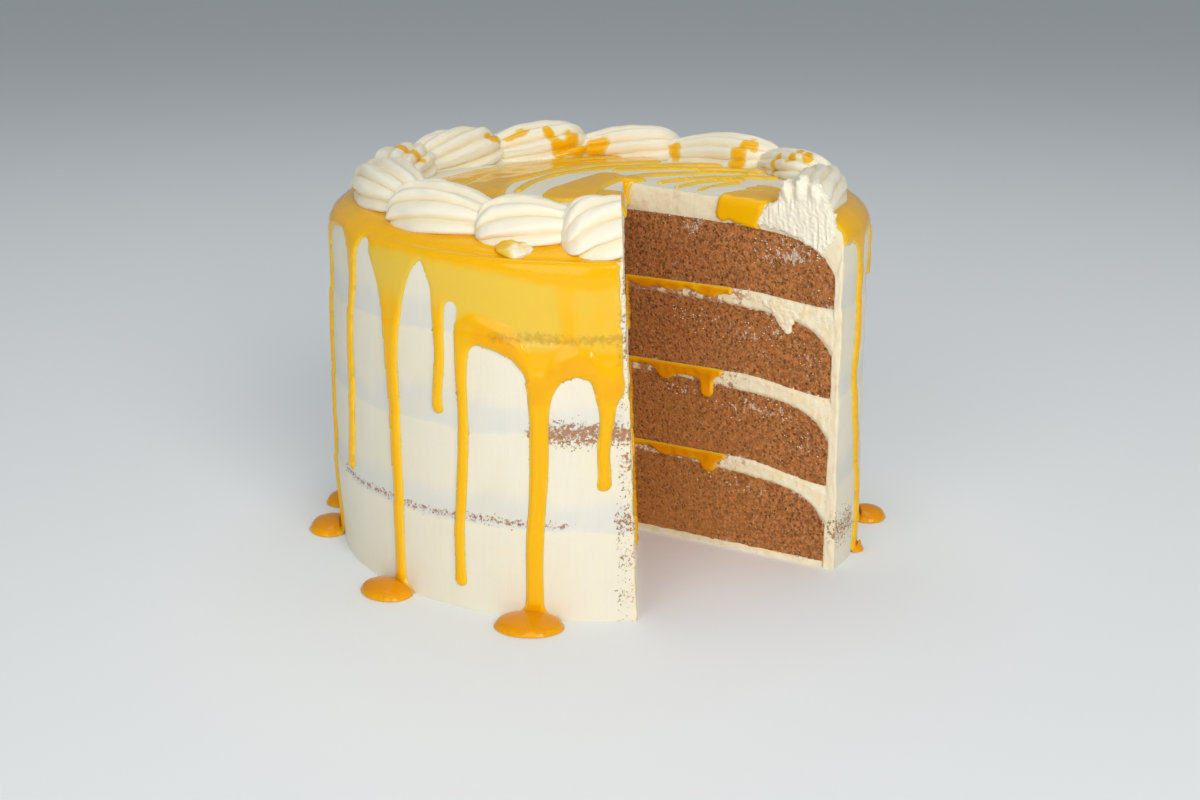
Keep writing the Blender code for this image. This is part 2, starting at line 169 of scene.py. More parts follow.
# Pools on the ground: angle, outer radius, half width across
POOLS = (
    (-173.0, 0.1160, 0.0125), (-134.3, 0.1165, 0.0118), (-102.4, 0.1186, 0.0130),
    (-19.5, 0.1058, 0.0042), (1.0, 0.1145, 0.0098), (87.0, 0.1150, 0.0110), (170.4, 0.1150, 0.0100),
)
POOL_INNER_R = 0.0975
POOL_EDGE = 0.91
POOL_DEPTH = 0.0009
POOL_DOME = 0.0032
SIDE_ROUNDING = 0.0016
ROUNDED_WITHIN = 0.004
# Fillets where two runs of sauce meet
DRIP_FILLET = 0.0045
DRIP_END_FILLET = 0.001
POOL_FILLET = 0.0030
GROUND_Z = 0.0002
# Sauce stands this much above what it lies on, right up to its edge
EDGE_LIFT = 0.00014
SHARP_ANGLE = math.radians(48.0)
# In cells: how near the outline distances are worked out, and how near points move onto it
OUTLINE_BAND = 4.0
OUTLINE_SNAP = 0.7
AVERAGED_AT = (-1.0, -0.5, 0.0, 0.5, 1.0)

# Sauce swept over the top: radius round the sweep point at both ends, both angles, both half widths
SWEEPS = (
    (0.108, 0.116, 171.0, 112.0, 0.0100, 0.0085),
    (0.125, 0.131, 160.0, 114.0, 0.0070, 0.0040),
    (0.094, 0.098, 163.0, 98.0, 0.0014, 0.0030),
    (0.074, 0.073, 166.0, 141.0, 0.0090, 0.0060),
    (0.064, 0.075, 176.0, 90.0, 0.0018, 0.0016),
    (0.088, 0.082, 128.0, 76.0, 0.0016, 0.0030),
    (0.056, 0.066, 132.0, 84.0, 0.0011, 0.0022),
    (0.046, 0.058, 133.0, 96.0, 0.0009, 0.0016),
    (0.038, 0.049, 128.0, 100.0, 0.0008, 0.0012),
)

# Piped shells: where each head starts, its size factor and how far out it sits
SHELL_STARTS = (-34.0, 5.0, 31.0, 65.0, 93.0, 122.0, 152.0, 181.0, 214.0, 241.0, 261.0)
SHELL_SIZES = (0.80, 0.80, 0.94, 1.02, 1.16, 1.14, 0.98, 1.04, 1.05, 1.02, 1.12)
SHELL_OUTWARD = (0.003, 0.002, 0.0, 0.0, 0.0, 0.0, 0.0, 0.0, 0.001, 0.002, 0.0045)
LAST_SHELL_END = 290.0
SHELL_RING_R = 0.0795
SHELL_HALF_WIDTH = 0.0158
SHELL_HEIGHT = 0.0125
SHELL_LIFT = 0.0018
SHELL_OVERLAP_DEG = 9.0
SHELL_ROUNDNESS = 0.78
SHELL_TAPER = 0.55
SHELL_TAPER_POWER = 1.4
SHELL_CURL = 1.3
SHELL_CURL_REACH = 0.28
# The nozzle's start is turned outward: by this angle at the end of the head, by nothing past this share
SHELL_HEAD_TURN = math.radians(18.0)
SHELL_HEAD_SHARE = 0.40
SHELL_SIT = 0.22
SHELL_CLEAR = -0.0006
SHELL_RIDGES = 10

# The camera that took the picture: place, tilt and lens
CAMERA_PLACE = (0.00032, -0.62393, 0.23285)
CAMERA_PITCH = 0.28742
CAMERA_ROLL = 0.00359
CAMERA_LENS = 50.0

# Colours that no setting holds
PALE_SPECK = (0.66, 0.42, 0.23)
# Painted light: the paler crumb painted near the wedge's corner and low down, against the shade there
PAINTED_LIGHT_CRUMB = (0.75, 0.33, 0.075)
SMEARED_CREAM = (0.80, 0.68, 0.56)
TAN_CRUMB = (0.80, 0.50, 0.20)
TAN_CUT = (0.80, 0.52, 0.24)
CRUMB_UNDER_SAUCE = (0.42, 0.23, 0.03)
# How light scatters in cream
CREAM_SCATTER = {"Subsurface_Radius": (1.0, 0.7, 0.4), "Subsurface_Scale": 0.002}


# Numbers and directions


def mix(a, b, share):
    return a + (b - a) * share


def smooth(t):
    t = max(0.0, min(1.0, t))
    return t * t * (3.0 - 2.0 * t)


def window(x, low, high, soft):
    """One between low and high, easing to zero within a soft margin."""
    return smooth((x - low) / soft + 0.5) * smooth((high - x) / soft + 0.5)


def interpolate(points, x):
    if x <= points[0][0]:
        return points[0][1]
    for (x0, y0), (x1, y1) in zip(points, points[1:]):
        if x <= x1:
            return y0 + (y1 - y0) * (x - x0) / (x1 - x0)
    return points[-1][1]


def rounded(points, x, reach):
    """A line through points, with its corners rounded off."""
    return sum(interpolate(points, x + step * reach) for step in AVERAGED_AT) / len(AVERAGED_AT)


def averaged(point, u, v, reach):
    """A point of a surface, with the surface's folds across v rounded off."""
    total = Vector()
    for step in AVERAGED_AT:
        total += point(u, v + step * reach)
    return total / len(AVERAGED_AT)


def blend_nearest(a, b, reach):
    """The smaller of two distances, with a fillet where they meet."""
    near = max(0.0, reach - abs(a - b)) / reach
    return min(a, b) - near * near * reach * 0.25


def angle_between(a, b):
    return (a - b + 180.0) % 360.0 - 180.0


def degrees_at(x, y):
    return math.degrees(math.atan2(y, x))


def on_ring(r, deg, z):
    turn = math.radians(deg)
    return Vector((r * math.cos(turn), r * math.sin(turn), z))


def wobble(x, y, z, size):
    """Smooth noise between about -1 and 1, with lumps of the given size."""
    return noise.noise(Vector((x, y, z)) / size)


# The cake's own surfaces


def corner_at(z):
    shift = -LEAN * z
    return CORNER_X + shift, CORNER_Y + shift * math.tan(RIGHT)


def reach_to(radius, turn, z):
    """Distance from the wedge's corner, in one direction, to a circle round the axis."""
    x, y = corner_at(z)
    along = x * math.cos(turn) + y * math.sin(turn)
    return math.sqrt(max(0.0, along * along - x * x - y * y + radius * radius)) - along


def from_corner(distance, turn, z):
    x, y = corner_at(z)
    return Vector((x + distance * math.cos(turn), y + distance * math.sin(turn), z))


def inside_cut(x, y, z):
    """How far inside the cake a point lies from the wedge's two faces, below zero in the wedge."""
    cx, cy = corner_at(z)
    dx, dy = x - cx, y - cy
    past_right = math.sin(RIGHT) * dx - math.cos(RIGHT) * dy
    past_left = -math.sin(LEFT) * dx + math.cos(LEFT) * dy
    return -min(past_right, past_left)


def coat_top(x, y):
    r = math.hypot(x, y)
    deg = degrees_at(x, y)
    facing = max(0.0, math.cos(math.radians(deg - FRONT_DIP_DEG))) ** 2
    dip = FRONT_DIP * smooth((r - FRONT_DIP_FROM_R) / FRONT_DIP_OVER) * facing
    return rounded(COAT_TOP, r, TOP_ROUNDING) - dip


def swirled_top(x, y):
    """The coat's top with the spatula's low ridges."""
    arc = math.hypot(x - SWEEP_X, y - SWEEP_Y)
    lumps = wobble(x, y, 0.0, 0.018)
    ridges = math.sin(arc / RIDGE_SPACING + 5.0 * lumps) * (0.5 + 0.5 * wobble(x, y, 0.3, 0.011))
    inner = smooth((SWIRL_R - math.hypot(x, y)) / 0.010)
    return coat_top(x, y) + inner * (RIDGE_HEIGHT * ridges + LUMP_HEIGHT * lumps)


def coat_wall(deg, z):
    facing = max(0.0, math.cos(math.radians(deg - FOOT_TUCK_DEG))) ** 2
    tuck = FOOT_TUCK * smooth(1.0 - z / FOOT_TUCK_TOP) * facing
    x, y, _ = on_ring(SAUCE_R, deg, z)
    uneven = 0.00030 * wobble(x, y, z * 1.6, 0.021) + 0.00012 * wobble(x, y, z * 0.25, 0.0035)
    uneven -= THIN_DEPTH * over_sponge(deg, z)
    return rounded(COAT_WALL, z, WALL_ROUNDING) - tuck + uneven * smooth((RIM_Z - z) / 0.006)


def sponge_span(index):
    low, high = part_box("sponge_%d" % (index + 1))
    return low.z + SPONGE_SAGS[index], high.z


SPANS = [sponge_span(index) for index in range(len(SPONGE_SAGS))]


def sponge_top(index, u):
    return SPANS[index][1] - CROWN_FALL * u ** CROWN_POWER - SHOULDER_FALL * u ** SHOULDER_POWER


def sponge_under(index, u):
    return SPANS[index][0] - SPONGE_SAGS[index] * smooth((u - SAG_FROM) / (1.0 - SAG_FROM))


def over_sponge(deg, z):
    """One just over a sponge's lower edge, where the coat is thinnest, fading out upwards."""
    most = 0.0
    for index in range(1, len(SPANS)):
        edge = sponge_under(index, 1.0) + 0.0014 * wobble(deg * 0.06, index * 3.1, 0.0, 1.0)
        if edge - 0.002 < z < edge + THIN_REACH:
            fade = smooth((edge + THIN_REACH - z) / (0.8 * THIN_REACH))
            most = max(most, smooth((z - edge + 0.0012) / 0.0020) * fade)
    return most


# Building meshes


def swept_section(columns, rows, steps):
    """A unit section swept round the wedge's corner into one closed body."""
    bm = bmesh.new()
    bmesh.ops.create_grid(bm, x_segments=columns, y_segments=rows, size=0.5)
    upright = Matrix.Rotation(RIGHT, 3, "Z") @ Matrix.Rotation(math.pi / 2.0, 3, "X")
    bmesh.ops.translate(bm, verts=bm.verts, vec=(0.5, 0.5, 0.0))
    bmesh.ops.rotate(bm, verts=bm.verts, cent=(0.0, 0.0, 0.0), matrix=upright)
    geom = bm.verts[:] + bm.edges[:] + bm.faces[:]
    bmesh.ops.spin(
        bm, geom=geom, cent=(0.0, 0.0, 0.0), axis=(0.0, 0.0, 1.0), dvec=(0.0, 0.0, 0.0),
        angle=LEFT - RIGHT, steps=steps, use_merge=False, use_normal_flip=True, use_duplicate=False)
    bmesh.ops.remove_doubles(bm, verts=bm.verts, dist=0.000001)
    return bm


def section_place(vert):
    """Share outwards, direction and share upwards of a vertex of a swept section."""
    share = min(1.0, math.hypot(vert.co.x, vert.co.y))
    turn = math.atan2(vert.co.y, vert.co.x)
    if share < 0.0001:
        turn = RIGHT
    elif turn < RIGHT - 0.001:
        turn += math.tau
    return share, turn, min(1.0, max(0.0, vert.co.z))


def cut_normal(turn):
    """Direction out of a cut face, or none away from the two faces."""
    if abs(turn - RIGHT) < 0.001:
        return Vector((math.sin(RIGHT), -math.cos(RIGHT), 0.0))
    if abs(turn - LEFT) < 0.001:
        return Vector((-math.sin(LEFT), math.cos(LEFT), 0.0))
    return None


def finish_piece(name, bm, mat, replaced=()):
    """Face the mesh outwards, make it an object and let it ride on the cake."""
    bmesh.ops.recalc_face_normals(bm, faces=bm.faces)
    if bm.calc_volume(signed=True) < 0.0:
        bmesh.ops.reverse_faces(bm, faces=bm.faces)
    mesh = bpy.data.meshes.new(name)
    bm.to_mesh(mesh)
    bm.free()
    mesh.shade_smooth()
    mesh.set_sharp_from_angle(angle=SHARP_ANGLE)
    mesh.materials.append(mat)
    piece = bpy.data.objects.new(name, mesh)
    bpy.context.scene.collection.objects.link(piece)
    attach(piece, "root")
    if replaced:
        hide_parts(*replaced)
    return piece


def lay_layer(columns, rows, steps, rim, low, high, relief):
    """A layer through the cake between two heights over radius, its cut faces in relief."""
    bm = swept_section(columns, rows, steps)
    for vert in bm.verts:
        share, turn, rise = section_place(vert)
        middle = from_corner(share * reach_to(rim, turn, MIDDLE_Z), turn, MIDDLE_Z)
        radius = min(rim, math.hypot(middle.x, middle.y))
        bottom, top = low(radius), high(radius)
        z = bottom + (top - bottom) * rise
        place = from_corner(share * reach_to(rim, turn, z), turn, z)
        out = cut_normal(turn)
        if out:
            place += out * relief(place, rise)
        vert.co = place
    return bm


def lay_sauce(bm, base, field, depth, sink, edge, outward):
    """Turn a flat grid into sauce on a surface.

    base(u, v) is the point of the surface and field(u, v) the outline, below zero inside.
    depth(u, v) is how thick the sauce may stand, edge how far its rounded edge reaches in,
    sink(u, v) how far it goes under the surface, and outward(point) roughly the way up.
    """
    cell = min(face_edge.calc_length() for face_edge in bm.edges[:8])
    nudge = cell * 0.25
    height = bm.verts.layers.float.new("depth")
    under = bm.verts.layers.float.new("sink")
    away = bm.verts.layers.float_vector.new("away")
    bmesh.ops.triangulate(bm, faces=bm.faces)
    outside = []
    for vert in bm.verts:
        u, v = vert.co.x, vert.co.y
        here = field(u, v)
        if here > OUTLINE_BAND * cell:
            outside.append(vert)
            continue
        distance = here
        if here > -OUTLINE_BAND * cell:
            along_u = (field(u + nudge, v) - here) / nudge
            along_v = (field(u, v + nudge) - here) / nudge
            steep = max(0.2, math.hypot(along_u, along_v))
            distance = here / steep
            if abs(distance) < OUTLINE_SNAP * cell:
                vert.co.x -= distance * along_u / steep
                vert.co.y -= distance * along_v / steep
                distance = 0.0
        if distance > 0.0:
            outside.append(vert)
        else:
            vert[height] = -distance
    bmesh.ops.delete(bm, geom=outside, context="VERTS")
    bmesh.ops.delete(bm, geom=[vert for vert in bm.verts if not vert.link_faces], context="VERTS")
    for vert in bm.verts:
        u, v = vert.co.x, vert.co.y
        share = min(1.0, vert[height] / edge)
        vert[height] = depth(u, v) * math.sqrt(1.0 - (1.0 - share) ** 2)
        vert[under] = sink(u, v)
        vert.co = base(u, v)
    bm.normal_update()
    for vert in bm.verts:
        vert[away] = vert.normal if vert.normal.dot(outward(vert.co)) > 0.0 else -vert.normal
    back = bmesh.ops.extrude_face_region(bm, geom=bm.faces[:], use_keep_orig=True)
    hidden = {item for item in back["geom"] if isinstance(item, bmesh.types.BMVert)}
    for vert in bm.verts:
        rise = -vert[under] if vert in hidden else vert[height] + EDGE_LIFT
        vert.co += vert[away] * rise
        vert[height] *= 1000.0
    bm.verts.layers.float_vector.remove(bm.verts.layers.float_vector["away"])
    bm.verts.layers.float.remove(bm.verts.layers.float["sink"])


def flat_grid(u_low, u_high, v_low, v_high, cell):
    bm = bmesh.new()
    columns = max(2, round((u_high - u_low) / cell))
    rows = max(2, round((v_high - v_low) / cell))
    bmesh.ops.create_grid(bm, x_segments=columns, y_segments=rows, size=0.5)
    bmesh.ops.scale(bm, verts=bm.verts, vec=(u_high - u_low, v_high - v_low, 1.0))
    bmesh.ops.translate(bm, verts=bm.verts, vec=((u_low + u_high) / 2.0, (v_low + v_high) / 2.0, 0.0))
    return bm


# Materials


def set_inputs(node, **values):
    """Set a node's properties, and its inputs by name with an underscore for each space."""
    for key, value in values.items():
        if hasattr(node, key):
            setattr(node, key, value)
        else:
            node.inputs[key.replace("_", " ")].default_value = value
    return node


def tinted(colour, *factors):
    """A colour with its channels scaled, by one factor each, and at most one."""
    return tuple(min(1.0, value * factor) for value, factor in zip(colour, factors))


class Shade:
    """Short ways to add and join the nodes of one material or group."""

    def __init__(self, tree):
        self.tree = tree

    def link(self, source, target):
        self.tree.links.new(source, target)

    def add(self, kind, **values):
        return set_inputs(self.tree.nodes.new(kind), **values)

    def noise(self, place, scale, detail=3.0, roughness=0.55):
        node = self.add("ShaderNodeTexNoise", Scale=scale, Detail=detail, Roughness=roughness)
        self.link(place, node.inputs["Vector"])
        return node.outputs["Fac"]

    def cells(self, place, scale):
        node = self.add("ShaderNodeTexVoronoi", Scale=scale)
        self.link(place, node.inputs["Vector"])
        return node.outputs["Distance"]

    def stretch(self, place, scale):
        node = self.add("ShaderNodeMapping", Scale=scale)
        self.link(place, node.inputs["Vector"])
        return node.outputs["Vector"]

    def map(self, value, low, high, to_low=0.0, to_high=1.0):
        node = self.add(
            "ShaderNodeMapRange", interpolation_type="SMOOTHSTEP", From_Min=low, From_Max=high,
            To_Min=to_low, To_Max=to_high)
        self.link(value, node.inputs["Value"])
        return node.outputs["Result"]

    def fill(self, socket, value):
        """Give a socket a number or a colour, or link it."""
        if isinstance(value, (int, float)):
            socket.default_value = value
        elif isinstance(value, tuple):
            socket.default_value = (*value, 1.0)
        else:
            self.link(value, socket)

    def math(self, how, a, b):
        node = self.add("ShaderNodeMath", operation=how)
        self.fill(node.inputs[0], a)
        self.fill(node.inputs[1], b)
        return node.outputs[0]

    def plus(self, a, b):
        return self.math("ADD", a, b)

    def minus(self, a, b):
        return self.math("SUBTRACT", a, b)

    def times(self, a, b):
        return self.math("MULTIPLY", a, b)

    def mix(self, share, a, b):
        """Colour b over colour a by a mask."""
        node = self.add("ShaderNodeMix", data_type="RGBA")
        self.link(share, node.inputs[0])
        self.fill(node.inputs[6], a)
        self.fill(node.inputs[7], b)
        return node.outputs[2]

    def attribute(self, name):
        return self.add("ShaderNodeAttribute", attribute_name=name).outputs["Fac"]

    def group(self, tree, place):
        node = self.add("ShaderNodeGroup", node_tree=tree)
        self.link(place, node.inputs["Vector"])
        return node.outputs


def grain_group():
    """Node group: crumb height, tone and speck masks from a place."""
    tree = bpy.data.node_groups.new("cake_crumb", "ShaderNodeTree")
    tree.interface.new_socket("Vector", in_out="INPUT", socket_type="NodeSocketVector")
    for name in ("Height", "Tone", "Pores", "Specks"):
        tree.interface.new_socket(name, in_out="OUTPUT", socket_type="NodeSocketFloat")
    shade = Shade(tree)
    place = tree.nodes.new("NodeGroupInput").outputs["Vector"]
    out = tree.nodes.new("NodeGroupOutput")
    fine = shade.noise(place, 1500.0, 4.0, 0.7)
    tone = shade.noise(place, 560.0, 5.0, 0.8)
    # The pores mask also carries the painted shade in the sponge's pores
    pores = shade.map(shade.cells(place, 620.0), 0.10, 0.42, 1.0, 0.0)
    specks = shade.map(shade.noise(place, 1150.0, 3.0, 0.6), 0.56, 0.64)
    height = shade.minus(shade.plus(fine, tone), pores)
    for name, value in (("Height", height), ("Tone", tone), ("Pores", pores), ("Specks", specks)):
        shade.link(value, out.inputs[name])
    return tree


def new_material(name, colour):
    mat = bpy.data.materials.new(name)
    mat.use_nodes = True
    mat.diffuse_color = (*colour, 1.0)
    shade = Shade(mat.node_tree)
    bsdf = mat.node_tree.nodes["Principled BSDF"]
    coord = shade.add("ShaderNodeTexCoord").outputs["Object"]
    return mat, shade, bsdf, coord


def add_bump(shade, bsdf, height, distance, strength=1.0):
    bump = shade.add("ShaderNodeBump", Strength=strength, Distance=distance)
    shade.link(height, bump.inputs["Height"])
    shade.link(bump.outputs["Normal"], bsdf.inputs["Normal"])


def sponge_material(look, crumb):
    """Open brown crumb with painted shade in its pores, pale specks, smears of cream from the knife and
    painted light near the wedge's corner.
    """
    base = tuple(look.sponge)
    mat, shade, bsdf, coord = new_material("sponge_crumb", base)
    grain = shade.group(crumb, coord)
    tone = shade.map(grain["Tone"], 0.32, 0.68)
    broad = shade.map(shade.noise(coord, 70.0, 3.0), 0.35, 0.65)
    colour = shade.mix(tone, tinted(base, 0.46, 0.46, 0.46), tinted(base, 1.65, 1.80, 1.9))
    colour = shade.mix(shade.times(broad, 0.35), colour, base)
    # Painted shade: the pores of the crumb are darkened
    colour = shade.mix(shade.times(grain["Pores"], 0.55), colour, tinted(base, 0.30, 0.30, 0.30))
    colour = shade.mix(shade.times(grain["Specks"], 0.62), colour, PALE_SPECK)
    # Painted light: the crumb is lightened near the wedge's corner and low down, by the middle attribute
    colour = shade.mix(shade.attribute("middle"), colour, PAINTED_LIGHT_CRUMB)
    broken = shade.minus(shade.noise(shade.stretch(coord, (1.0, 1.0, 0.6)), 640.0, 4.0, 0.7), 0.5)
    torn = shade.plus(shade.attribute("smear"), shade.times(broken, 1.7))
    colour = shade.mix(shade.times(shade.map(torn, 0.48, 0.66), 0.8), colour, SMEARED_CREAM)
    shade.link(colour, bsdf.inputs["Base Color"])
    set_inputs(bsdf, Roughness=0.88, Specular_IOR_Level=0.25)
    add_bump(shade, bsdf, grain["Height"], 0.0007, 0.9)
    return mat


def cream_material(look):
    """Piped cream: smooth and waxy, with fine tears, sauce stains from an attribute and painted shade in the
    shells' grooves.
    """
    cream = tuple(look.cream)
    mat, shade, bsdf, coord = new_material("piped_cream", cream)
    fine = shade.noise(coord, 900.0, 4.0, 0.65)
    soft = shade.noise(coord, 160.0, 3.0, 0.5)
    # Painted shade: the cream in the shells' grooves is darkened and yellowed
    groove = shade.times(shade.attribute("groove"), 0.75)
    colour = shade.mix(groove, cream, tinted(cream, 0.97, 0.86, 0.62))
    torn = shade.plus(shade.attribute("stain"), shade.times(shade.minus(soft, 0.5), 1.1))
    colour = shade.mix(shade.map(torn, 0.22, 0.50), colour, tuple(look.thin_sauce))
    sauced = shade.map(torn, 0.46, 0.68)
    colour = shade.mix(sauced, colour, tuple(look.sauce))
    shade.link(colour, bsdf.inputs["Base Color"])
    shade.link(shade.map(sauced, 0.0, 1.0, 0.48, 0.14), bsdf.inputs["Roughness"])
    set_inputs(bsdf, Subsurface_Weight=0.25, Specular_IOR_Level=0.4, **CREAM_SCATTER)
    add_bump(shade, bsdf, shade.plus(shade.times(fine, 0.5), soft), 0.00025, 0.6)
    return mat


def filling_material(look):
    """Cut cream: slightly yellower, dragged by the knife and full of small crumbs."""
    cream = tuple(look.cream)
    mat, shade, bsdf, coord = new_material("cut_cream", cream)
    tone = shade.map(shade.noise(coord, 220.0, 4.0, 0.65), 0.35, 0.65)
    colour = shade.mix(tone, tinted(cream, 1.04, 0.95, 0.76), tinted(cream, 1.07, 1.04, 0.96))
    tan = shade.map(shade.noise(coord, 250.0, 5.0, 0.75), 0.56, 0.70)
    colour = shade.mix(shade.times(tan, 0.5), colour, TAN_CRUMB)
    crumby = shade.attribute("crumby")
    torn = shade.plus(shade.noise(coord, 300.0, 5.0, 0.75), shade.times(crumby, 0.12))
    brown = shade.times(shade.map(torn, 0.56, 0.62), shade.map(crumby, 0.0, 0.3))
    colour = shade.mix(shade.times(brown, 0.85), colour, tuple(look.sponge))
    shade.link(colour, bsdf.inputs["Base Color"])
    set_inputs(bsdf, Roughness=0.55, Subsurface_Weight=0.2, **CREAM_SCATTER)
    add_bump(shade, bsdf, shade.noise(coord, 600.0, 5.0, 0.7), 0.0006, 0.8)
    return mat


def coat_material(look, crumb):
    """Scraped cream: white over the fillings, thin and greyer over the sponges, bare at their edges."""
    mat, shade, bsdf, coord = new_material("scraped_cream", tuple(look.cream))
    cream = tinted(look.cream, 0.93, 0.93, 0.93)
    sponge = tuple(look.sponge)
    cut = shade.attribute("cut")
    patchy = shade.noise(shade.stretch(coord, (1.0, 1.0, 0.5)), 60.0, 4.0, 0.6)
    streak = shade.noise(shade.stretch(coord, (1.0, 1.0, 0.06)), 900.0, 2.0, 0.5)
    uneven = shade.times(shade.minus(patchy, 0.5), 1.7)
    grey = shade.map(shade.plus(shade.attribute("thin"), uneven), 0.30, 1.05)
    colour = shade.mix(grey, cream, tinted(look.thin_cream, 0.94, 0.94, 0.94))
    warm = shade.times(shade.map(patchy, 0.35, 0.70), 0.30)
    colour = shade.mix(warm, colour, tinted(cream, 0.98, 0.93, 0.78))
    scraped = shade.times(shade.map(streak, 0.45, 0.75), 0.10)
    colour = shade.mix(scraped, colour, tinted(cream, 0.86, 0.84, 0.80))
    colour = shade.mix(shade.times(cut, 0.85), colour, tinted(cream, 1.07, 1.0, 0.86))
    grain = shade.group(crumb, coord)
    holes = shade.minus(shade.noise(coord, 820.0, 4.0, 0.75), 0.5)
    open_crumb = shade.map(shade.plus(shade.attribute("bare"), shade.times(holes, 1.5)), 0.46, 0.58)
    brown = shade.mix(shade.map(grain["Tone"], 0.3, 0.7), sponge, tinted(sponge, 1.05, 1.25, 1.5))
    colour = shade.mix(shade.times(open_crumb, 0.9), colour, brown)
    tan = shade.map(shade.noise(coord, 230.0, 5.0, 0.75), 0.54, 0.68)
    colour = shade.mix(shade.times(shade.times(tan, cut), 0.5), colour, TAN_CUT)
    shade.link(colour, bsdf.inputs["Base Color"])
    shade.link(shade.map(open_crumb, 0.0, 1.0, 0.50, 0.85), bsdf.inputs["Roughness"])
    set_inputs(bsdf, Subsurface_Weight=0.2, Specular_IOR_Level=0.35, **CREAM_SCATTER)
    fine = shade.plus(shade.times(streak, 0.35), shade.times(shade.noise(coord, 700.0, 3.0), 0.25))
    dragged = shade.times(cut, shade.noise(coord, 500.0, 5.0, 0.7))
    height = shade.minus(shade.plus(fine, dragged), shade.times(open_crumb, grain["Height"]))
    add_bump(shade, bsdf, height, 0.0004, 0.7)
    return mat


def sauce_material(name, look, thin_from, thick_at):
    """Glossy sauce: deep gold where it stands thick, pale and milky where it is thin."""
    sauce = tuple(look.sauce)
    mat, shade, bsdf, coord = new_material(name, sauce)
    cloudy = shade.noise(shade.stretch(coord, (1.0, 1.0, 0.4)), 150.0, 4.0, 0.6)
    level = shade.plus(shade.attribute("depth"), shade.times(shade.minus(cloudy, 0.5), 0.35))
    colour = shade.mix(shade.map(level, thin_from, thick_at), tuple(look.thin_sauce), sauce)
    deep = shade.map(level, thick_at * 1.6, thick_at * 2.6)
    colour = shade.mix(deep, colour, tinted(sauce, 0.90, 0.66, 0.5))
    ragged = shade.minus(shade.noise(coord, 620.0, 4.0, 0.7), 0.5)
    under = shade.map(shade.plus(shade.attribute("under"), ragged), 0.42, 0.74)
    colour = shade.mix(shade.times(under, 0.55), colour, CRUMB_UNDER_SAUCE)
    shade.link(colour, bsdf.inputs["Base Color"])
    set_inputs(
        bsdf, Roughness=0.12, IOR=1.40, Specular_IOR_Level=0.35, Subsurface_Weight=0.15,
        Subsurface_Radius=(1.0, 0.5, 0.08), Subsurface_Scale=0.0016)
    add_bump(shade, bsdf, shade.noise(coord, 260.0, 2.0, 0.4), 0.00012, 0.5)
    return mat


# The object's settings


class CakeLook(bpy.types.PropertyGroup):
    """Colours of the cake."""

    sponge: bpy.props.FloatVectorProperty(
        name="Sponge", description="Colour of the crumb", subtype="COLOR", size=3, min=0.0, max=1.0,
        default=(0.455, 0.158, 0.042))
    cream: bpy.props.FloatVectorProperty(
        name="Cream", description="Colour of thick buttercream", subtype="COLOR", size=3, min=0.0, max=1.0,
        default=(0.91, 0.85, 0.69))
    thin_cream: bpy.props.FloatVectorProperty(
        name="Thin cream", description="Colour where the coat lets the sponge shimmer through",
        subtype="COLOR", size=3, min=0.0, max=1.0, default=(0.790, 0.775, 0.715))
    sauce: bpy.props.FloatVectorProperty(
        name="Sauce", description="Colour of thick caramel sauce", subtype="COLOR", size=3, min=0.0, max=1.0,
        default=(0.93, 0.48, 0.002))
    thin_sauce: bpy.props.FloatVectorProperty(
        name="Thin sauce", description="Colour of the sauce where it is a thin film", subtype="COLOR",
        size=3, min=0.0, max=1.0, default=(0.84, 0.55, 0.055))


class CakeRelief(bpy.types.PropertyGroup):
    """Depths of the fine forms."""

    crumb: bpy.props.FloatProperty(
        name="Crumb depth", description="How deep the open crumb goes", default=0.00045, min=0.0,
        max=0.002, unit="LENGTH")
    crumb_size: bpy.props.FloatProperty(
        name="Crumb size", description="Distance between the larger pores", default=0.0021, min=0.0005,
        max=0.01, unit="LENGTH")
    groove: bpy.props.FloatProperty(
        name="Shell groove", description="Depth of the shells' grooves as a share of their girth",
        default=0.17, min=0.0, max=0.5, subtype="FACTOR")
    sauce_depth: bpy.props.FloatProperty(
        name="Sauce thickness", description="Thickness of the collar of sauce", default=0.0009,
        min=0.0001, max=0.004, unit="LENGTH")
    drip_depth: bpy.props.FloatProperty(
        name="Drip thickness", description="How far a drip stands proud", default=0.0013, min=0.0001,
        max=0.005, unit="LENGTH")


class CakeStage(bpy.types.PropertyGroup):
    """Floor and light."""

    floor: bpy.props.FloatVectorProperty(
        name="Floor", description="Colour of the floor", subtype="COLOR", size=3, min=0.0, max=1.0,
        default=(0.92, 0.94, 0.95))
    key_power: bpy.props.FloatProperty(
        name="Key light", description="Power of the large soft light in front on the right", default=11.0,
        min=0.0, unit="POWER")
    fill_power: bpy.props.FloatProperty(
        name="Fill light", description="Power of the soft light in front on the left", default=6.0,
        min=0.0, unit="POWER")
    spark_power: bpy.props.FloatProperty(
        name="Small light", description="Power of the small light that puts highlights on the sauce",
        default=0.8, min=0.0, unit="POWER")
    top_power: bpy.props.FloatProperty(
        name="Top light", description="Power of the soft light overhead", default=3.6, min=0.0, unit="POWER")


def look():
    return bpy.context.scene.cake_look


def relief():
    return bpy.context.scene.cake_relief


def shared(name, maker, *values):
    """The named material or group, made the first time that it is asked for."""
    found = bpy.data.materials.get(name) or bpy.data.node_groups.get(name)
    return found or maker(*values)


def crumb_nodes():
    return shared("cake_crumb", grain_group)


def caramel_sauce():
    return shared("caramel_sauce", sauce_material, "caramel_sauce", look(), 0.30, 0.75)


def piped_cream():
    return shared("piped_cream", cream_material, look())


# Pieces


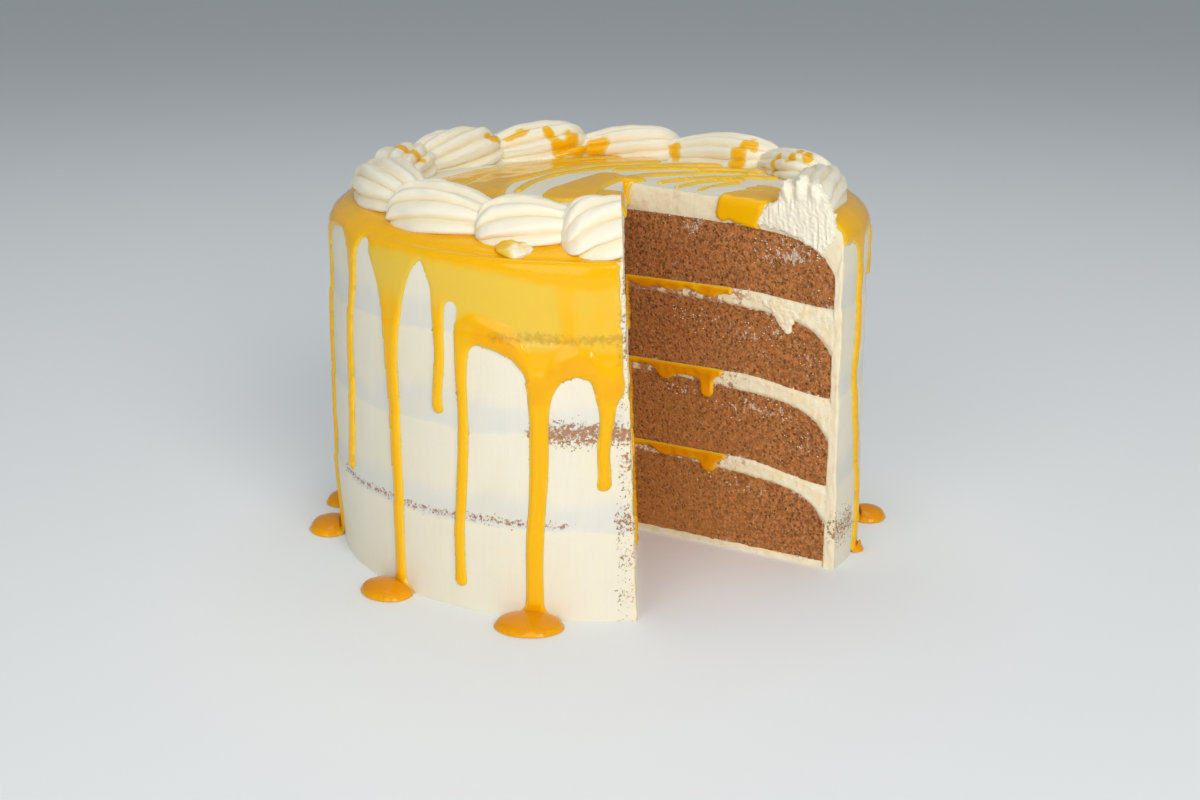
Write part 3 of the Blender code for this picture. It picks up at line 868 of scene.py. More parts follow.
def crumb_depth(place, rise):
    """Torn crumb on a cut face: fine tooth, soft waves and round pores."""
    size = relief().crumb_size
    deep = relief().crumb
    pore = noise.voronoi(place / size)[0][0]
    fine = noise.noise(place / (size * 0.32))
    coarse = noise.noise(place / (size * 1.7))
    out = deep * (0.45 * fine + 0.45 * coarse - 1.3 * max(0.0, 0.34 - pore) / 0.34)
    return out - 0.0001


def cream_depth(place, rise):
    """Cut cream stands a little proud in the middle of its layer and is dragged by the knife."""
    edge = 1.0 - abs(rise - 0.5) * 2.0
    drag = noise.noise(Vector((place.x, place.y, place.z * 0.5)) / 0.0016)
    waves = noise.noise(place / 0.006)
    return -0.0006 + 0.0011 * smooth(edge / 0.45) + 0.00022 * drag + 0.00025 * waves


# Cream dragged over the crumb: distance from the corner, height, both reaches, amount
SMEARS = (
    (0.0230, 0.1215, 0.0070, 0.0065, 0.62), (0.0100, 0.1265, 0.0110, 0.0030, 0.42),
    (0.0620, 0.1155, 0.0170, 0.0085, 0.62), (0.0730, 0.1020, 0.0080, 0.0080, 0.40),
    (0.0480, 0.0845, 0.0200, 0.0060, 0.50), (0.0590, 0.0870, 0.0090, 0.0045, 0.55),
    (0.0260, 0.0885, 0.0160, 0.0040, 0.45), (0.0720, 0.0780, 0.0080, 0.0080, 0.38),
    (0.0500, 0.0560, 0.0220, 0.0060, 0.52), (0.0200, 0.0600, 0.0180, 0.0030, 0.42),
    (0.0700, 0.0450, 0.0100, 0.0070, 0.42), (0.0450, 0.0250, 0.0300, 0.0050, 0.36),
)


def from_wedge_corner(place):
    return math.hypot(place.x - CORNER_X, place.y - CORNER_Y)


def knife_smear(place):
    """Where the knife dragged cream over the crumb."""
    distance = from_wedge_corner(place)
    most = 0.0
    for far, high, wide, tall, amount in SMEARS:
        away = math.hypot((distance - far) / wide, (place.z - high) / tall)
        most = max(most, amount * (1.0 - 0.8 * away))
    if most <= 0.0:
        return 0.0
    streaks = noise.noise(Vector((place.x * 2.4, place.y * 2.4, place.z)) / 0.0036)
    return max(0.0, most + 0.30 * streaks)


def edge_smear(index, place):
    """Cream pulled over the edges of a sponge."""
    u = math.hypot(place.x, place.y) / SPONGE_R
    near = min(sponge_top(index, u) - place.z, place.z - sponge_under(index, u))
    return 0.46 * (1.0 - near / 0.0022) + 0.25 * noise.noise(place / 0.004) if near < 0.0022 else 0.0


def painted_light_near_corner(place):
    """Painted light: the crumb is made a little paler towards the wedge's corner in the middle of the cake
    and lower down, where shade falls on the cut faces.
    """
    distance = from_wedge_corner(place)
    return 0.42 * smooth(1.0 - distance / 0.075) * (1.0 - smooth(place.z / 0.130))


def paint(piece, name, rule):
    """Store a value for each vertex, which a material reads."""
    mesh = piece.data
    attribute = mesh.attributes.new(name, "FLOAT", "POINT")
    attribute.data.foreach_set("value", [rule(vert.co) for vert in mesh.vertices])


class CAKE_OT_sponges(bpy.types.Operator):
    """Build the four sponges with open crumb on their cut faces"""

    bl_idname = "cake.sponges"
    bl_label = "Sponges"

    # Columns, rows and steps of the swept section
    GRID = (164, 46, 20)

    def execute(self, context):
        mat = sponge_material(look(), crumb_nodes())
        for index in range(len(SPANS)):
            bm = lay_layer(
                *self.GRID, SPONGE_R,
                lambda r, i=index: sponge_under(i, r / SPONGE_R),
                lambda r, i=index: (
                    sponge_top(i, r / SPONGE_R) + 0.00035 * noise.noise(Vector((r / 0.004, i, 0)))),
                crumb_depth)
            name = "sponge_%d" % (index + 1)
            piece = finish_piece(name + "_crumb", bm, mat, (name,))
            paint(piece, "smear", lambda co, i=index: max(knife_smear(co), edge_smear(i, co)))
            # Paints the light that lightens the crumb near the wedge's corner and low down
            paint(piece, "middle", painted_light_near_corner)
        return {"FINISHED"}


class CAKE_OT_fillings(bpy.types.Operator):
    """Build the cream between the sponges and under the lowest one"""

    bl_idname = "cake.fillings"
    bl_label = "Cream fillings"

    # Columns, rows and steps of the swept sections
    GRID = (190, 14, 20)
    BASE_GRID = (150, 3, 60)

    def execute(self, context):
        mat = filling_material(look())
        for index in range(len(SPANS) - 1):
            bm = lay_layer(
                *self.GRID, SPONGE_R,
                lambda r, i=index: sponge_top(i, r / SPONGE_R) - 0.0007,
                lambda r, i=index: sponge_under(i + 1, r / SPONGE_R) + 0.0006,
                cream_depth)
            name = "filling_cream_%d" % (index + 1)
            piece = finish_piece(name + "_cut", bm, mat, (name,))
            paint(piece, "crumby", lambda co: smooth(1.15 - from_wedge_corner(co) / 0.052))
        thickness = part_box("base_cream")[1].z
        bm = lay_layer(
            *self.BASE_GRID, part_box("base_cream")[1].x, lambda r: 0.0,
            lambda r: thickness + 0.0007 + 0.0004 * noise.noise(Vector((r / 0.005, 2.0, 0.0))),
            lambda place, rise: 0.0008 * noise.noise(place / 0.004) * (1.0 - rise))
        finish_piece("base_cream_cut", bm, mat, ("base_cream",))
        return {"FINISHED"}


class CAKE_OT_caramel(bpy.types.Operator):
    """Build the caramel in the fillings and its runs over the cut faces"""

    bl_idname = "cake.caramel"
    bl_label = "Caramel fillings"

    # Columns, rows and steps of the swept discs
    DISC_GRID = (110, 4, 20)
    RUN_CELL = 0.00045
    # For each filling, its runs on a face: distance from the corner, drop below the sponge, half width
    RIGHT_RUNS = (
        ((0.0160, 0.0040, 0.0040), (0.0338, 0.0078, 0.0030), (0.0250, 0.0030, 0.0070)),
        ((0.0165, 0.0066, 0.0034), (0.0338, 0.0112, 0.0026), (0.0250, 0.0034, 0.0060)),
        ((0.0080, 0.0030, 0.0030), (0.0350, 0.0036, 0.0060), (0.0200, 0.0026, 0.0060)),
    )
    LEFT_RUNS = (
        ((0.0700, 0.0150, 0.0026), (0.0600, 0.0050, 0.0060), (0.0240, 0.0060, 0.0040)),
        ((0.0740, 0.0130, 0.0024), (0.0660, 0.0060, 0.0050), (0.0300, 0.0050, 0.0030)),
        ((0.0640, 0.0045, 0.0028), (0.0500, 0.0040, 0.0060)),
    )

    def lay_runs(self, index, turn, runs, mat, name):
        """Caramel that ran out of a filling and hangs down a cut face."""
        out = cut_normal(turn)
        far = max(run[0] + run[2] for run in runs) + 0.004

        def roof(s):
            place = from_corner(s, turn, MIDDLE_Z)
            return sponge_under(index + 1, math.hypot(place.x, place.y) / SPONGE_R) + 0.0002

        def base(s, z):
            return from_corner(max(0.0, s), turn, z) + out * 0.00035

        def field(s, z):
            line = 0.0021 + 0.0006 * wobble(s, index, 0.0, 0.006)
            nearest = max(roof(s) - line - z, s - far, 0.0008 - s)
            for at, drop, half in runs:
                side = abs(s - at)
                low = roof(at) - drop + half
                nearest = blend_nearest(nearest, math.hypot(side, max(0.0, low - z)) - half, 0.005)
            return max(nearest, z - roof(s))

        bm = flat_grid(0.0004, far + 0.004, roof(far) - 0.026, roof(0.0) + 0.0015, self.RUN_CELL)
        lay_sauce(
            bm, base, field, lambda s, z: 0.0010 + 0.0006 * wobble(s, z, 6.0, 0.0035),
            lambda s, z: 0.0008, 0.0013, lambda point: out)
        finish_piece(name, bm, mat)

    def execute(self, context):
        mat = sauce_material("caramel_filling", look(), 0.05, 0.35)
        faces = (("right", RIGHT, self.RIGHT_RUNS), ("left", LEFT, self.LEFT_RUNS))
        for index in range(len(SPANS) - 1):
            roof = SPANS[index + 1][0] + 0.0002
            bm = lay_layer(
                *self.DISC_GRID, CARAMEL_R,
                lambda r, high=roof: high - CARAMEL_THICK, lambda r, high=roof: high,
                lambda place, rise: 0.0005 * smooth((0.5 - abs(rise - 0.5)) / 0.3) - 0.0001)
            name = "filling_caramel_%d" % (index + 1)
            disc = finish_piece(name + "_disc", bm, mat, (name,))
            paint(disc, "depth", lambda co: 0.9)
            for side, turn, runs in faces:
                self.lay_runs(index, turn, runs[index], mat, "caramel_run_%s_%d" % (side, index + 1))
        return {"FINISHED"}


# Bare crumb: angles between which it runs, height, half height, amount
BARE_LINES = (
    (-163.0, -90.0, 0.0338, 0.0040, 0.50), (-106.0, -80.0, 0.0662, 0.0105, 0.60),
    (-46.0, -20.0, 0.0150, 0.0160, 0.50), (-114.0, -80.0, 0.0985, 0.0056, 0.52),
    (20.0, 95.0, 0.0340, 0.0034, 0.48), (110.0, 175.0, 0.0668, 0.0032, 0.46),
)


def bare_crumb(deg, z):
    """Where the scraper took the coat off the sponge's edge."""
    turned = angle_between(deg, 0.0)
    strip = 0.70 * window(turned, -87.0, -82.0, 1.0) * (0.55 + 0.45 * wobble(z, 3.0, 0.0, 0.010))
    most = max(0.0, strip)
    for start, end, height, half, amount in BARE_LINES:
        centre = (start + end) / 2.0
        reach = (end - start) / 2.0
        along = 1.0 - abs(angle_between(deg, centre)) / reach
        if along <= 0.0:
            continue
        line = height + 0.0014 * wobble(deg * 0.06, height * 90.0, 0.0, 1.0)
        across = 1.0 - abs(z - line) / half
        most = max(most, amount * smooth(along * 4.0) * smooth(across))
    return most


class CAKE_OT_coat(bpy.types.Operator):
    """Build the scraped buttercream coat over the top and the side"""

    bl_idname = "cake.coat"
    bl_label = "Coat"

    # Columns, rows and steps of the swept section
    GRID = (160, 10, 180)
    # The share of a section's columns that goes to the top
    TOP_SHARE = 0.42

    def outer(self, share, turn):
        if share < self.TOP_SHARE:
            along = share / self.TOP_SHARE
            flat = from_corner(along * reach_to(RIM_R, turn, RIM_Z), turn, RIM_Z)
            return Vector((flat.x, flat.y, swirled_top(flat.x, flat.y)))
        z = RIM_Z * (1.0 - (share - self.TOP_SHARE) / (1.0 - self.TOP_SHARE))
        rough = from_corner(reach_to(SAUCE_R, turn, z), turn, z)
        wall = coat_wall(degrees_at(rough.x, rough.y), z)
        return from_corner(reach_to(wall, turn, z), turn, z)

    def inner(self, share, turn):
        if share < self.TOP_SHARE:
            along = share / self.TOP_SHARE
            flat = from_corner(along * reach_to(COAT_INNER_R, turn, RIM_Z), turn, RIM_Z)
            u = min(1.0, math.hypot(flat.x, flat.y) / SPONGE_R)
            return Vector((flat.x, flat.y, sponge_top(3, u) - 0.0006))
        top = sponge_top(3, COAT_INNER_R / SPONGE_R) - 0.0006
        z = top * (1.0 - (share - self.TOP_SHARE) / (1.0 - self.TOP_SHARE))
        return from_corner(reach_to(COAT_INNER_R, turn, z), turn, z)

    def execute(self, context):
        bm = swept_section(*self.GRID)
        mark = bm.verts.layers.float.new("cut")
        for vert in bm.verts:
            share, turn, rise = section_place(vert)
            if rise > 0.999:
                place = self.outer(share, turn)
            elif rise < 0.001:
                place = self.inner(share, turn)
            else:
                place = self.inner(share, turn).lerp(self.outer(share, turn), rise)
            out = cut_normal(turn)
            if out:
                ragged = 0.0004 * noise.noise(Vector((place.x, place.y, place.z * 0.4)) / 0.0015)
                edge = smooth(min(rise, 1.0 - rise) / 0.12)
                place += out * (0.00025 * edge + ragged + 0.0003 * noise.noise(place / 0.006))
                vert[mark] = 1.0
            vert.co = place
        mat = coat_material(look(), crumb_nodes())
        piece = finish_piece("buttercream_coat_scraped", bm, mat, ("buttercream_coat",))

        def side_only(rule):
            def value(co):
                if co.z > RIM_Z or math.hypot(co.x, co.y) < COAT_INNER_R + 0.001:
                    return 0.0
                return rule(degrees_at(co.x, co.y), co.z)
            return value

        paint(piece, "thin", side_only(over_sponge))
        paint(piece, "bare", side_only(bare_crumb))
        return {"FINISHED"}


def collar_edge(deg):
    """Height of the sauce's lower edge."""
    turned = angle_between(deg, 0.0)
    if SAUCE_EDGE[0][0] <= turned <= SAUCE_EDGE[-1][0]:
        return interpolate(SAUCE_EDGE, turned)
    return EDGE_Z + 0.0016 * wobble(deg * 0.05, 4.0, 0.0, 1.0)


def side_height(v):
    """Height on the side, falling evenly with v from the rim down."""
    return RIM_Z - (COLLAR_START_R + v - RIM_R)


def plain_side(u, v):
    """Point of the coat: u runs round the side, v from under the shells over the rim to the ground."""
    deg = math.degrees(u / SAUCE_R)
    r = COLLAR_START_R + v
    if r < RIM_R:
        spot = on_ring(r, deg, 0.0)
        spot.z = coat_top(spot.x, spot.y)
        return spot
    z = RIM_Z - (r - RIM_R)
    if z > 0.0:
        return on_ring(coat_wall(deg, z), deg, z + GROUND_Z * smooth(1.0 - z / 0.010))
    return on_ring(coat_wall(deg, 0.0) - z, deg, GROUND_Z)


def side_base(u, v):
    """The side with its rim and its foot rounded, as sauce rounds them."""
    z = side_height(v)
    if abs(z - RIM_Z) > ROUNDED_WITHIN and abs(z) > ROUNDED_WITHIN:
        return plain_side(u, v)
    return averaged(plain_side, u, v, SIDE_ROUNDING)


def drip_width(drip, z, edge_z):
    """Half width of a drip: a flare under the collar, a slack middle and a bead at its end."""
    rim_deg, end_deg, end_z, half, sway, flare, fall = drip
    below = max(0.0, edge_z - z)
    slack = 1.0 + 0.10 * wobble(rim_deg, z, 0.0, 0.016)
    bead = 0.22 * math.exp(-((z - end_z) / 0.004) ** 2)
    return half * (slack + bead) + flare * math.exp(-below / fall)


def drip_centre(number, drip, z, top_z):
    rim_deg, end_deg, end_z, half, sway, flare, fall = drip
    share = min(1.0, max(0.0, (top_z - z) / (top_z - end_z)))
    return rim_deg + (end_deg - rim_deg) * share + sway * math.sin(share * 9.0 + number)


def nearest_pool(deg, z):
    """Place in the nearest pool, 0 at its middle and 1 at its edge, and the pool's reach."""
    best = (2.0, 0.01)
    for pool_deg, outer_r, half in POOLS:
        reach = (outer_r - POOL_INNER_R) / 2.0
        across = math.radians(angle_between(deg, pool_deg)) * (outer_r - reach)
        along = SAUCE_R - z - (POOL_INNER_R + reach)
        ring = math.hypot(across / half, along / reach) + 0.03 * wobble(deg, outer_r, 5.0, 2.5)
        best = min(best, (ring, reach))
    return best


def side_field(u, v):
    """Outline of the sauce on the side: the collar, the drips and the pools joined by fillets."""
    deg = math.degrees(u / SAUCE_R)
    z = side_height(v)
    edge = collar_edge(deg)
    nearest = edge - z
    for number, drip in enumerate(DRIPS):
        away = abs(angle_between(deg, drip[0]))
        if away > DRIP_WITHIN_DEG:
            continue
        top_z = collar_edge(drip[0])
        if z > top_z + 0.006:
            continue
        side = math.radians(angle_between(deg, drip_centre(number, drip, z, top_z))) * SAUCE_R
        end_z = drip[2] if drip[2] > 0.0 else POOLED_END_Z
        past = max(0.0, end_z + drip[3] - z)
        body = math.hypot(side, past) - drip_width(drip, z, top_z)
        fillet = DRIP_FILLET if z > drip[2] + 0.02 else DRIP_END_FILLET
        nearest = blend_nearest(nearest, body, fillet)
    if z < 0.012:
        ring, reach = nearest_pool(deg, z)
        if ring < 2.0:
            nearest = blend_nearest(nearest, (ring - POOL_EDGE) * reach, POOL_FILLET)
    x, y, _ = on_ring(SAUCE_R, deg, z)
    margin = 0.0003
    if -100.0 < angle_between(deg, 0.0) < -60.0 and z < RIM_Z:
        margin = 0.0012 + 0.0009 * wobble(u, v, 7.0, 0.005)
    beyond = margin - inside_cut(x, y, max(0.0, z))
    return max(nearest, beyond, 0.0006 - v)


def side_depth(u, v):
    """How thick the sauce stands: a thin sheet, a swollen lip at its edge and fat drips."""
    deg = angle_between(math.degrees(u / SAUCE_R), 0.0)
    z = side_height(v)
    edge = collar_edge(deg)
    stray = wobble(u, v, 1.0, 0.011)
    thin_deg = deg + 1.2 * stray
    thin_top = interpolate(SHEET_TOP, deg) + 0.0016 * wobble(u, 0.0, 2.0, 0.008)
    thin_low = max(min(edge, SHEET_EDGE_HIGH), SHEET_EDGE_LOW) + SHEET_ABOVE_EDGE
    thin_low_soft = SHEET_SOFT if deg > SLOW_DEG else 0.022
    thin = window(thin_deg, SHEET_FROM_DEG, SHEET_TO_DEG, 3.0)
    thin *= smooth((thin_top - z) / SHEET_SOFT + 0.5)
    thin *= smooth((z - thin_low) / thin_low_soft + 0.5)
    run = window(thin_deg, -97.4, -94.2, 2.2) * 0.45
    lip = window(thin_deg, LIP_FROM_DEG, LIP_TO_DEG, 4.0)
    lip *= window(z + 0.0012 * stray, edge - 0.002, edge + 0.0090, 0.0060)
    thick = relief().sauce_depth * (1.0 + 0.16 * wobble(u, v * 0.3, 0.0, 0.006))
    sheet = mix(SHEET_THINNEST, SHEET_THICKEST, smooth((deg + 101.0) / 8.0))
    thick = mix(thick, sheet, thin * (1.0 - run))
    thick = mix(thick, LIP_DEPTH, lip)
    fall = min(edge, DRIP_TOP_Z) - z
    thick = mix(thick, relief().drip_depth, smooth(fall / (0.006 if deg > SLOW_DEG else 0.034)))
    if z < 0.004:
        ring = min(1.0, nearest_pool(deg, z)[0])
        dome = POOL_DEPTH + POOL_DOME * (1.0 - ring * ring)
        thick = mix(thick, dome, smooth((0.004 - z) / 0.006))
    return thick


class CAKE_OT_side_sauce(bpy.types.Operator):
    """Build the collar of sauce, its drips down the side and the pools at the foot"""

    bl_idname = "cake.side_sauce"
    bl_label = "Sauce on the side"

    def execute(self, context):
        bm = flat_grid(
            math.radians(SAUCE_FROM_DEG) * SAUCE_R, math.radians(SAUCE_TO_DEG) * SAUCE_R, 0.0,
            RIM_R - COLLAR_START_R + RIM_Z + SAUCE_ON_GROUND, SAUCE_CELL)

        def sink(u, v):
            z = side_height(v)
            return 0.0006 * smooth((z - 0.001) / 0.003)

        lay_sauce(
            bm, side_base, side_field, side_depth, sink, 0.0019,
            lambda point: Vector((point.x, point.y, 0.05)))
        height = bm.verts.layers.float["depth"]
        for vert in bm.verts:
            if vert.co.z < 0.006 and math.hypot(vert.co.x, vert.co.y) > SAUCE_R + 0.0012:
                vert[height] = max(vert[height], 1.6)
        piece = finish_piece("sauce_side", bm, caramel_sauce())

        def under(co):
            return 1.25 * bare_crumb(degrees_at(co.x, co.y), co.z) if co.z > 0.090 else 0.0

        paint(piece, "under", under)
        return {"FINISHED"}


def sweep_field(x, y):
    """Outline of the sauce that the spatula swept round the top."""
    dx, dy = x - SWEEP_X, y - SWEEP_Y
    ring = math.hypot(dx, dy)
    turn = degrees_at(dx, dy) % 360.0
    nearest = 1.0
    for first_r, last_r, first_deg, last_deg, first_half, last_half in SWEEPS:
        share = min(1.0, max(0.0, (first_deg - turn) / (first_deg - last_deg)))
        uneven = 1.0 + 0.25 * wobble(turn * 0.09, first_r * 300.0, 0.0, 1.0)
        half = mix(first_half, last_half, share) * uneven
        past = max(0.0, turn - first_deg, last_deg - turn)
        off = ring - mix(first_r, last_r, share)
        off += 0.0012 * wobble(turn * 0.05, first_r * 70.0, 3.0, 1.0)
        away = math.hypot(off, math.radians(past) * ring)
        nearest = blend_nearest(nearest, away - half, 0.0012)
    beyond = 0.0002 - inside_cut(x, y, 0.134)
    return max(nearest, beyond, math.hypot(x, y) - 0.0735)


class CAKE_OT_top_sauce(bpy.types.Operator):
    """Build the sauce swept over the top and where it spills over the cut edge"""

    bl_idname = "cake.top_sauce"
    bl_label = "Sauce on the top"

    TOP_REACH = 0.075
    TOP_CELL = 0.00085
    SPILL_CELL = 0.0006
    # Spills: distances from the corner between which the sauce goes over, how far down and how far back
    SPILLS = (
        (RIGHT, 0.0408, 0.0590, 0.0090, 0.026), (RIGHT, -0.0010, 0.0050, 0.0085, 0.008),
        (LEFT, 0.0200, 0.0420, 0.0035, 0.010),
    )

    def lay_spill(self, number, turn, first, last, down, back, mat):
        out = cut_normal(turn)

        def side_point(s, v):
            edge = from_corner(s, turn, 0.132)
            if v < 0.0:
                spot = edge - out * -v
                spot.z = swirled_top(spot.x, spot.y)
                return spot
            edge.z = swirled_top(edge.x, edge.y)
            spot = from_corner(s, turn, edge.z - v)
            return spot + out * 0.0005

        middle, half = (first + last) / 2.0, (last - first) / 2.0

        def field(s, v):
            low = down * (1.0 - 0.15 * smooth((middle - s) / half + 0.2))
            low += 0.0012 * wobble(s, number * 3.0, 0.0, 0.004)
            lean = 0.25 * v
            ragged = 0.0012 * wobble(s, v, number, 0.005)
            spread = half * (1.0 + 0.35 * smooth(-v / back))
            sides = abs(s - middle + lean) - spread + ragged
            return max(sides, v - low, -v - back * (0.8 + 0.2 * math.cos((s - middle) / half)))

        bm = flat_grid(middle - half * 1.7, middle + half * 1.7, -back * 1.1, down * 1.2, self.SPILL_CELL)
        lay_sauce(
            bm, lambda s, v: averaged(side_point, s, v, 0.0012), field, lambda s, v: 0.0012,
            lambda s, v: 0.0006, 0.0018, lambda point: out + Vector((0, 0, 1)))
        finish_piece("sauce_spill_%d" % number, bm, mat)

    def execute(self, context):
        mat = caramel_sauce()
        bm = flat_grid(-self.TOP_REACH, self.TOP_REACH, -self.TOP_REACH, self.TOP_REACH, self.TOP_CELL)

        def base(x, y):
            return Vector((x, y, mix(coat_top(x, y) + 0.0003, swirled_top(x, y), 0.3)))

        def depth(x, y):
            return 0.00085 * (1.0 + 0.3 * wobble(x, y, 0.0, 0.009))

        lay_sauce(bm, base, sweep_field, depth, lambda x, y: 0.0006, 0.0028, lambda point: Vector((0, 0, 1)))
        finish_piece("sauce_top", bm, mat)
        for number, (turn, first, last, down, back) in enumerate(self.SPILLS):
            self.lay_spill(number + 1, turn, first, last, down, back, mat)
        return {"FINISHED"}


# Streaks of sauce on the shells: both ends, radius
STAINS = (
    ((-0.0446, 0.0537, 0.1435), (-0.0321, 0.0646, 0.1449), 0.0026),
    ((-0.0219, 0.0664, 0.1456), (-0.0198, 0.0644, 0.1409), 0.0018),
    ((-0.0125, 0.0681, 0.1425), (-0.0104, 0.0645, 0.1381), 0.0026),
    ((-0.0198, 0.0644, 0.1409), (-0.0165, 0.0624, 0.1371), 0.0022),
    ((-0.0165, 0.0624, 0.1371), (-0.0042, 0.0680, 0.1362), 0.0032),
    ((-0.0042, 0.0695, 0.1365), (0.0012, 0.0702, 0.1385), 0.0030),
    ((0.0551, 0.0431, 0.1401), (0.0579, 0.0444, 0.1431), 0.0022),
    ((0.0579, 0.0444, 0.1431), (0.0611, 0.0475, 0.1441), 0.0022),
    ((0.0611, 0.0475, 0.1441), (0.0617, 0.0417, 0.1411), 0.0020),
    ((0.0551, 0.0431, 0.1401), (0.0540, 0.0410, 0.1350), 0.0030),
    ((0.0693, 0.0252, 0.1395), (0.0684, 0.0253, 0.1328), 0.0020),
    ((0.0729, 0.0157, 0.1401), (0.0775, 0.0227, 0.1422), 0.0018),
    ((0.0792, 0.0112, 0.1419), (0.0800, 0.0190, 0.1425), 0.0018),
    ((-0.0765, 0.0143, 0.1447), (-0.0688, 0.0127, 0.1412), 0.0026),
    ((0.0309, 0.0656, 0.1376), (0.0308, 0.0632, 0.1350), 0.0024),
)


def stained(co):
    """How much sauce a point of a shell carries."""
    most = 0.0
    for first, last, radius in STAINS:
        start, run = Vector(first), Vector(last) - Vector(first)
        share = max(0.0, min(1.0, (co - start).dot(run) / run.length_squared))
        most = max(most, 1.0 - 0.55 * (co - start - run * share).length / radius)
    return most


def shell_girth(share):
    taper = 1.0 - SHELL_TAPER * share ** SHELL_TAPER_POWER
    return math.sin(math.pi * share) ** SHELL_ROUNDNESS * taper


def sauced_top(r, deg):
    spot = on_ring(r, deg, 0.0)
    return coat_top(spot.x, spot.y) + 0.0009 * smooth((r - 0.084) / 0.004)


class CAKE_OT_shells(bpy.types.Operator):
    """Build the border of piped shells"""

    bl_idname = "cake.shells"
    bl_label = "Piped shells"

    ROUND = 144
    RINGS = 84

    def shape(self, bm, index):
        """Bend a ball, with its poles at head and tail, into a ridged shell."""
        groove = relief().groove
        size = SHELL_SIZES[index]
        start = SHELL_STARTS[index]
        last = index + 1 == len(SHELL_STARTS)
        end = LAST_SHELL_END if last else SHELL_STARTS[index + 1] + SHELL_OVERLAP_DEG
        ring_r = SHELL_RING_R + SHELL_OUTWARD[index]
        head_deg = start + (end - start) * (0.5 - 0.5 * math.cos(math.pi * SHELL_HEAD_SHARE))
        mark = bm.verts.layers.float.new("groove")
        for vert in bm.verts:
            share = math.acos(max(-1.0, min(1.0, vert.co.z))) / math.pi
            around = math.atan2(vert.co.y, vert.co.x)
            stray = 0.5 * noise.noise(Vector((math.cos(around), math.sin(around), index * 5.3 + share)))
            hump = abs(math.cos(around * SHELL_RIDGES / 2.0 + stray)) ** 0.7
            fine = abs(math.cos(around * SHELL_RIDGES + 2.0 * stray + 0.6))
            uneven = 1.0 + 0.5 * noise.noise(Vector((around * 1.3, share * 3.0, index * 2.9)))
            depth = groove * uneven * smooth(share / 0.05) * smooth((1.0 - share) / 0.10)
            lumps = noise.noise(Vector((around, share * 4.0, index * 7.3)))
            ripple = noise.noise(Vector((around * 2.2, share * 13.0, index * 3.1)))
            girth = shell_girth(share) * (1.0 - depth * (1.0 - hump)) * size
            girth *= 1.0 + 0.05 * lumps + 0.03 * ripple
            girth *= 1.0 + 0.10 * math.exp(-((share - 0.20) / 0.12) ** 2) - 0.12 * depth * (1.0 - fine)
            turned = around - SHELL_CURL * math.exp(-share / SHELL_CURL_REACH)
            turned += 0.16 * noise.noise(Vector((share * 3.0, index * 1.7, 0.0)))
            deg = start + (end - start) * (0.5 - 0.5 * math.cos(math.pi * share))
            across = SHELL_HALF_WIDTH * girth * math.cos(turned)
            rise = SHELL_LIFT + SHELL_HEIGHT * girth * (SHELL_SIT + math.sin(turned))
            if share < SHELL_HEAD_SHARE:
                head_turn = SHELL_HEAD_TURN * smooth(1.0 - share / SHELL_HEAD_SHARE)
                back = math.radians(deg - head_deg) * ring_r
                along = back * math.cos(head_turn) + across * math.sin(head_turn)
                across = across * math.cos(head_turn) - back * math.sin(head_turn)
                deg = head_deg + math.degrees(along / ring_r)
            r = ring_r + across
            floor = sauced_top(r, deg) + SHELL_CLEAR
            # Marks the grooves, where the cream material paints shade
            vert[mark] = (1.0 - hump) * smooth(share / 0.05)
            vert.co = on_ring(r, deg, floor + max(0.0, rise))

    def trim(self, bm, turn):
        """Cut the shell flush with a face of the wedge and close it."""
        out = cut_normal(turn)
        low, high = from_corner(0.0, turn, 0.10), from_corner(0.0, turn, 0.15)
        along = Vector((math.cos(turn), math.sin(turn), 0.0))
        normal = along.cross(high - low).normalized()
        if normal.dot(out) < 0.0:
            normal = -normal
        geom = bm.verts[:] + bm.edges[:] + bm.faces[:]
        done = bmesh.ops.bisect_plane(
            bm, geom=geom, plane_co=low, plane_no=normal, clear_outer=True, clear_inner=False)
        edges = [item for item in done["geom_cut"] if isinstance(item, bmesh.types.BMEdge)]
        bmesh.ops.holes_fill(bm, edges=edges, sides=0)

    def execute(self, context):
        mat = piped_cream()
        count = len(SHELL_STARTS)
        for index in range(count):
            bm = bmesh.new()
            bmesh.ops.create_uvsphere(bm, u_segments=self.ROUND, v_segments=self.RINGS, radius=1.0)
            self.shape(bm, index)
            bmesh.ops.recalc_face_normals(bm, faces=bm.faces)
            if index == 0:
                self.trim(bm, RIGHT)
            if index >= count - 2:
                self.trim(bm, LEFT)
            name = "shell_%02d" % (index + 1)
            piece = finish_piece(name + "_piped", bm, mat, (name,))
            paint(piece, "stain", stained)
        return {"FINISHED"}


# Outline of the combed cream on the right cut: distance from the corner, height
COMBED = (
    (0.0520, 0.1258), (0.0570, 0.1290), (0.0600, 0.1325), (0.0640, 0.1342), (0.0652, 0.1385),
    (0.0668, 0.1414), (0.0690, 0.1418), (0.0706, 0.1394), (0.0722, 0.1428), (0.0744, 0.1440),
    (0.0762, 0.1412), (0.0776, 0.1420), (0.0800, 0.1412), (0.0822, 0.1372), (0.0842, 0.1330),
    (0.0856, 0.1290), (0.0860, 0.1240), (0.0838, 0.1200), (0.0805, 0.1170), (0.0765, 0.1185),
    (0.0715, 0.1212), (0.0640, 0.1238), (0.0570, 0.1248),
)
# Outline of the cream that fills a notch in the third sponge
NOTCH = (
    (0.0540, 0.0976), (0.0598, 0.0945), (0.0620, 0.0919), (0.0644, 0.0886), (0.0672, 0.0859),
    (0.0683, 0.0872), (0.0689, 0.0895), (0.0699, 0.0914), (0.0722, 0.0924), (0.0710, 0.0945),
    (0.0620, 0.0980),
)


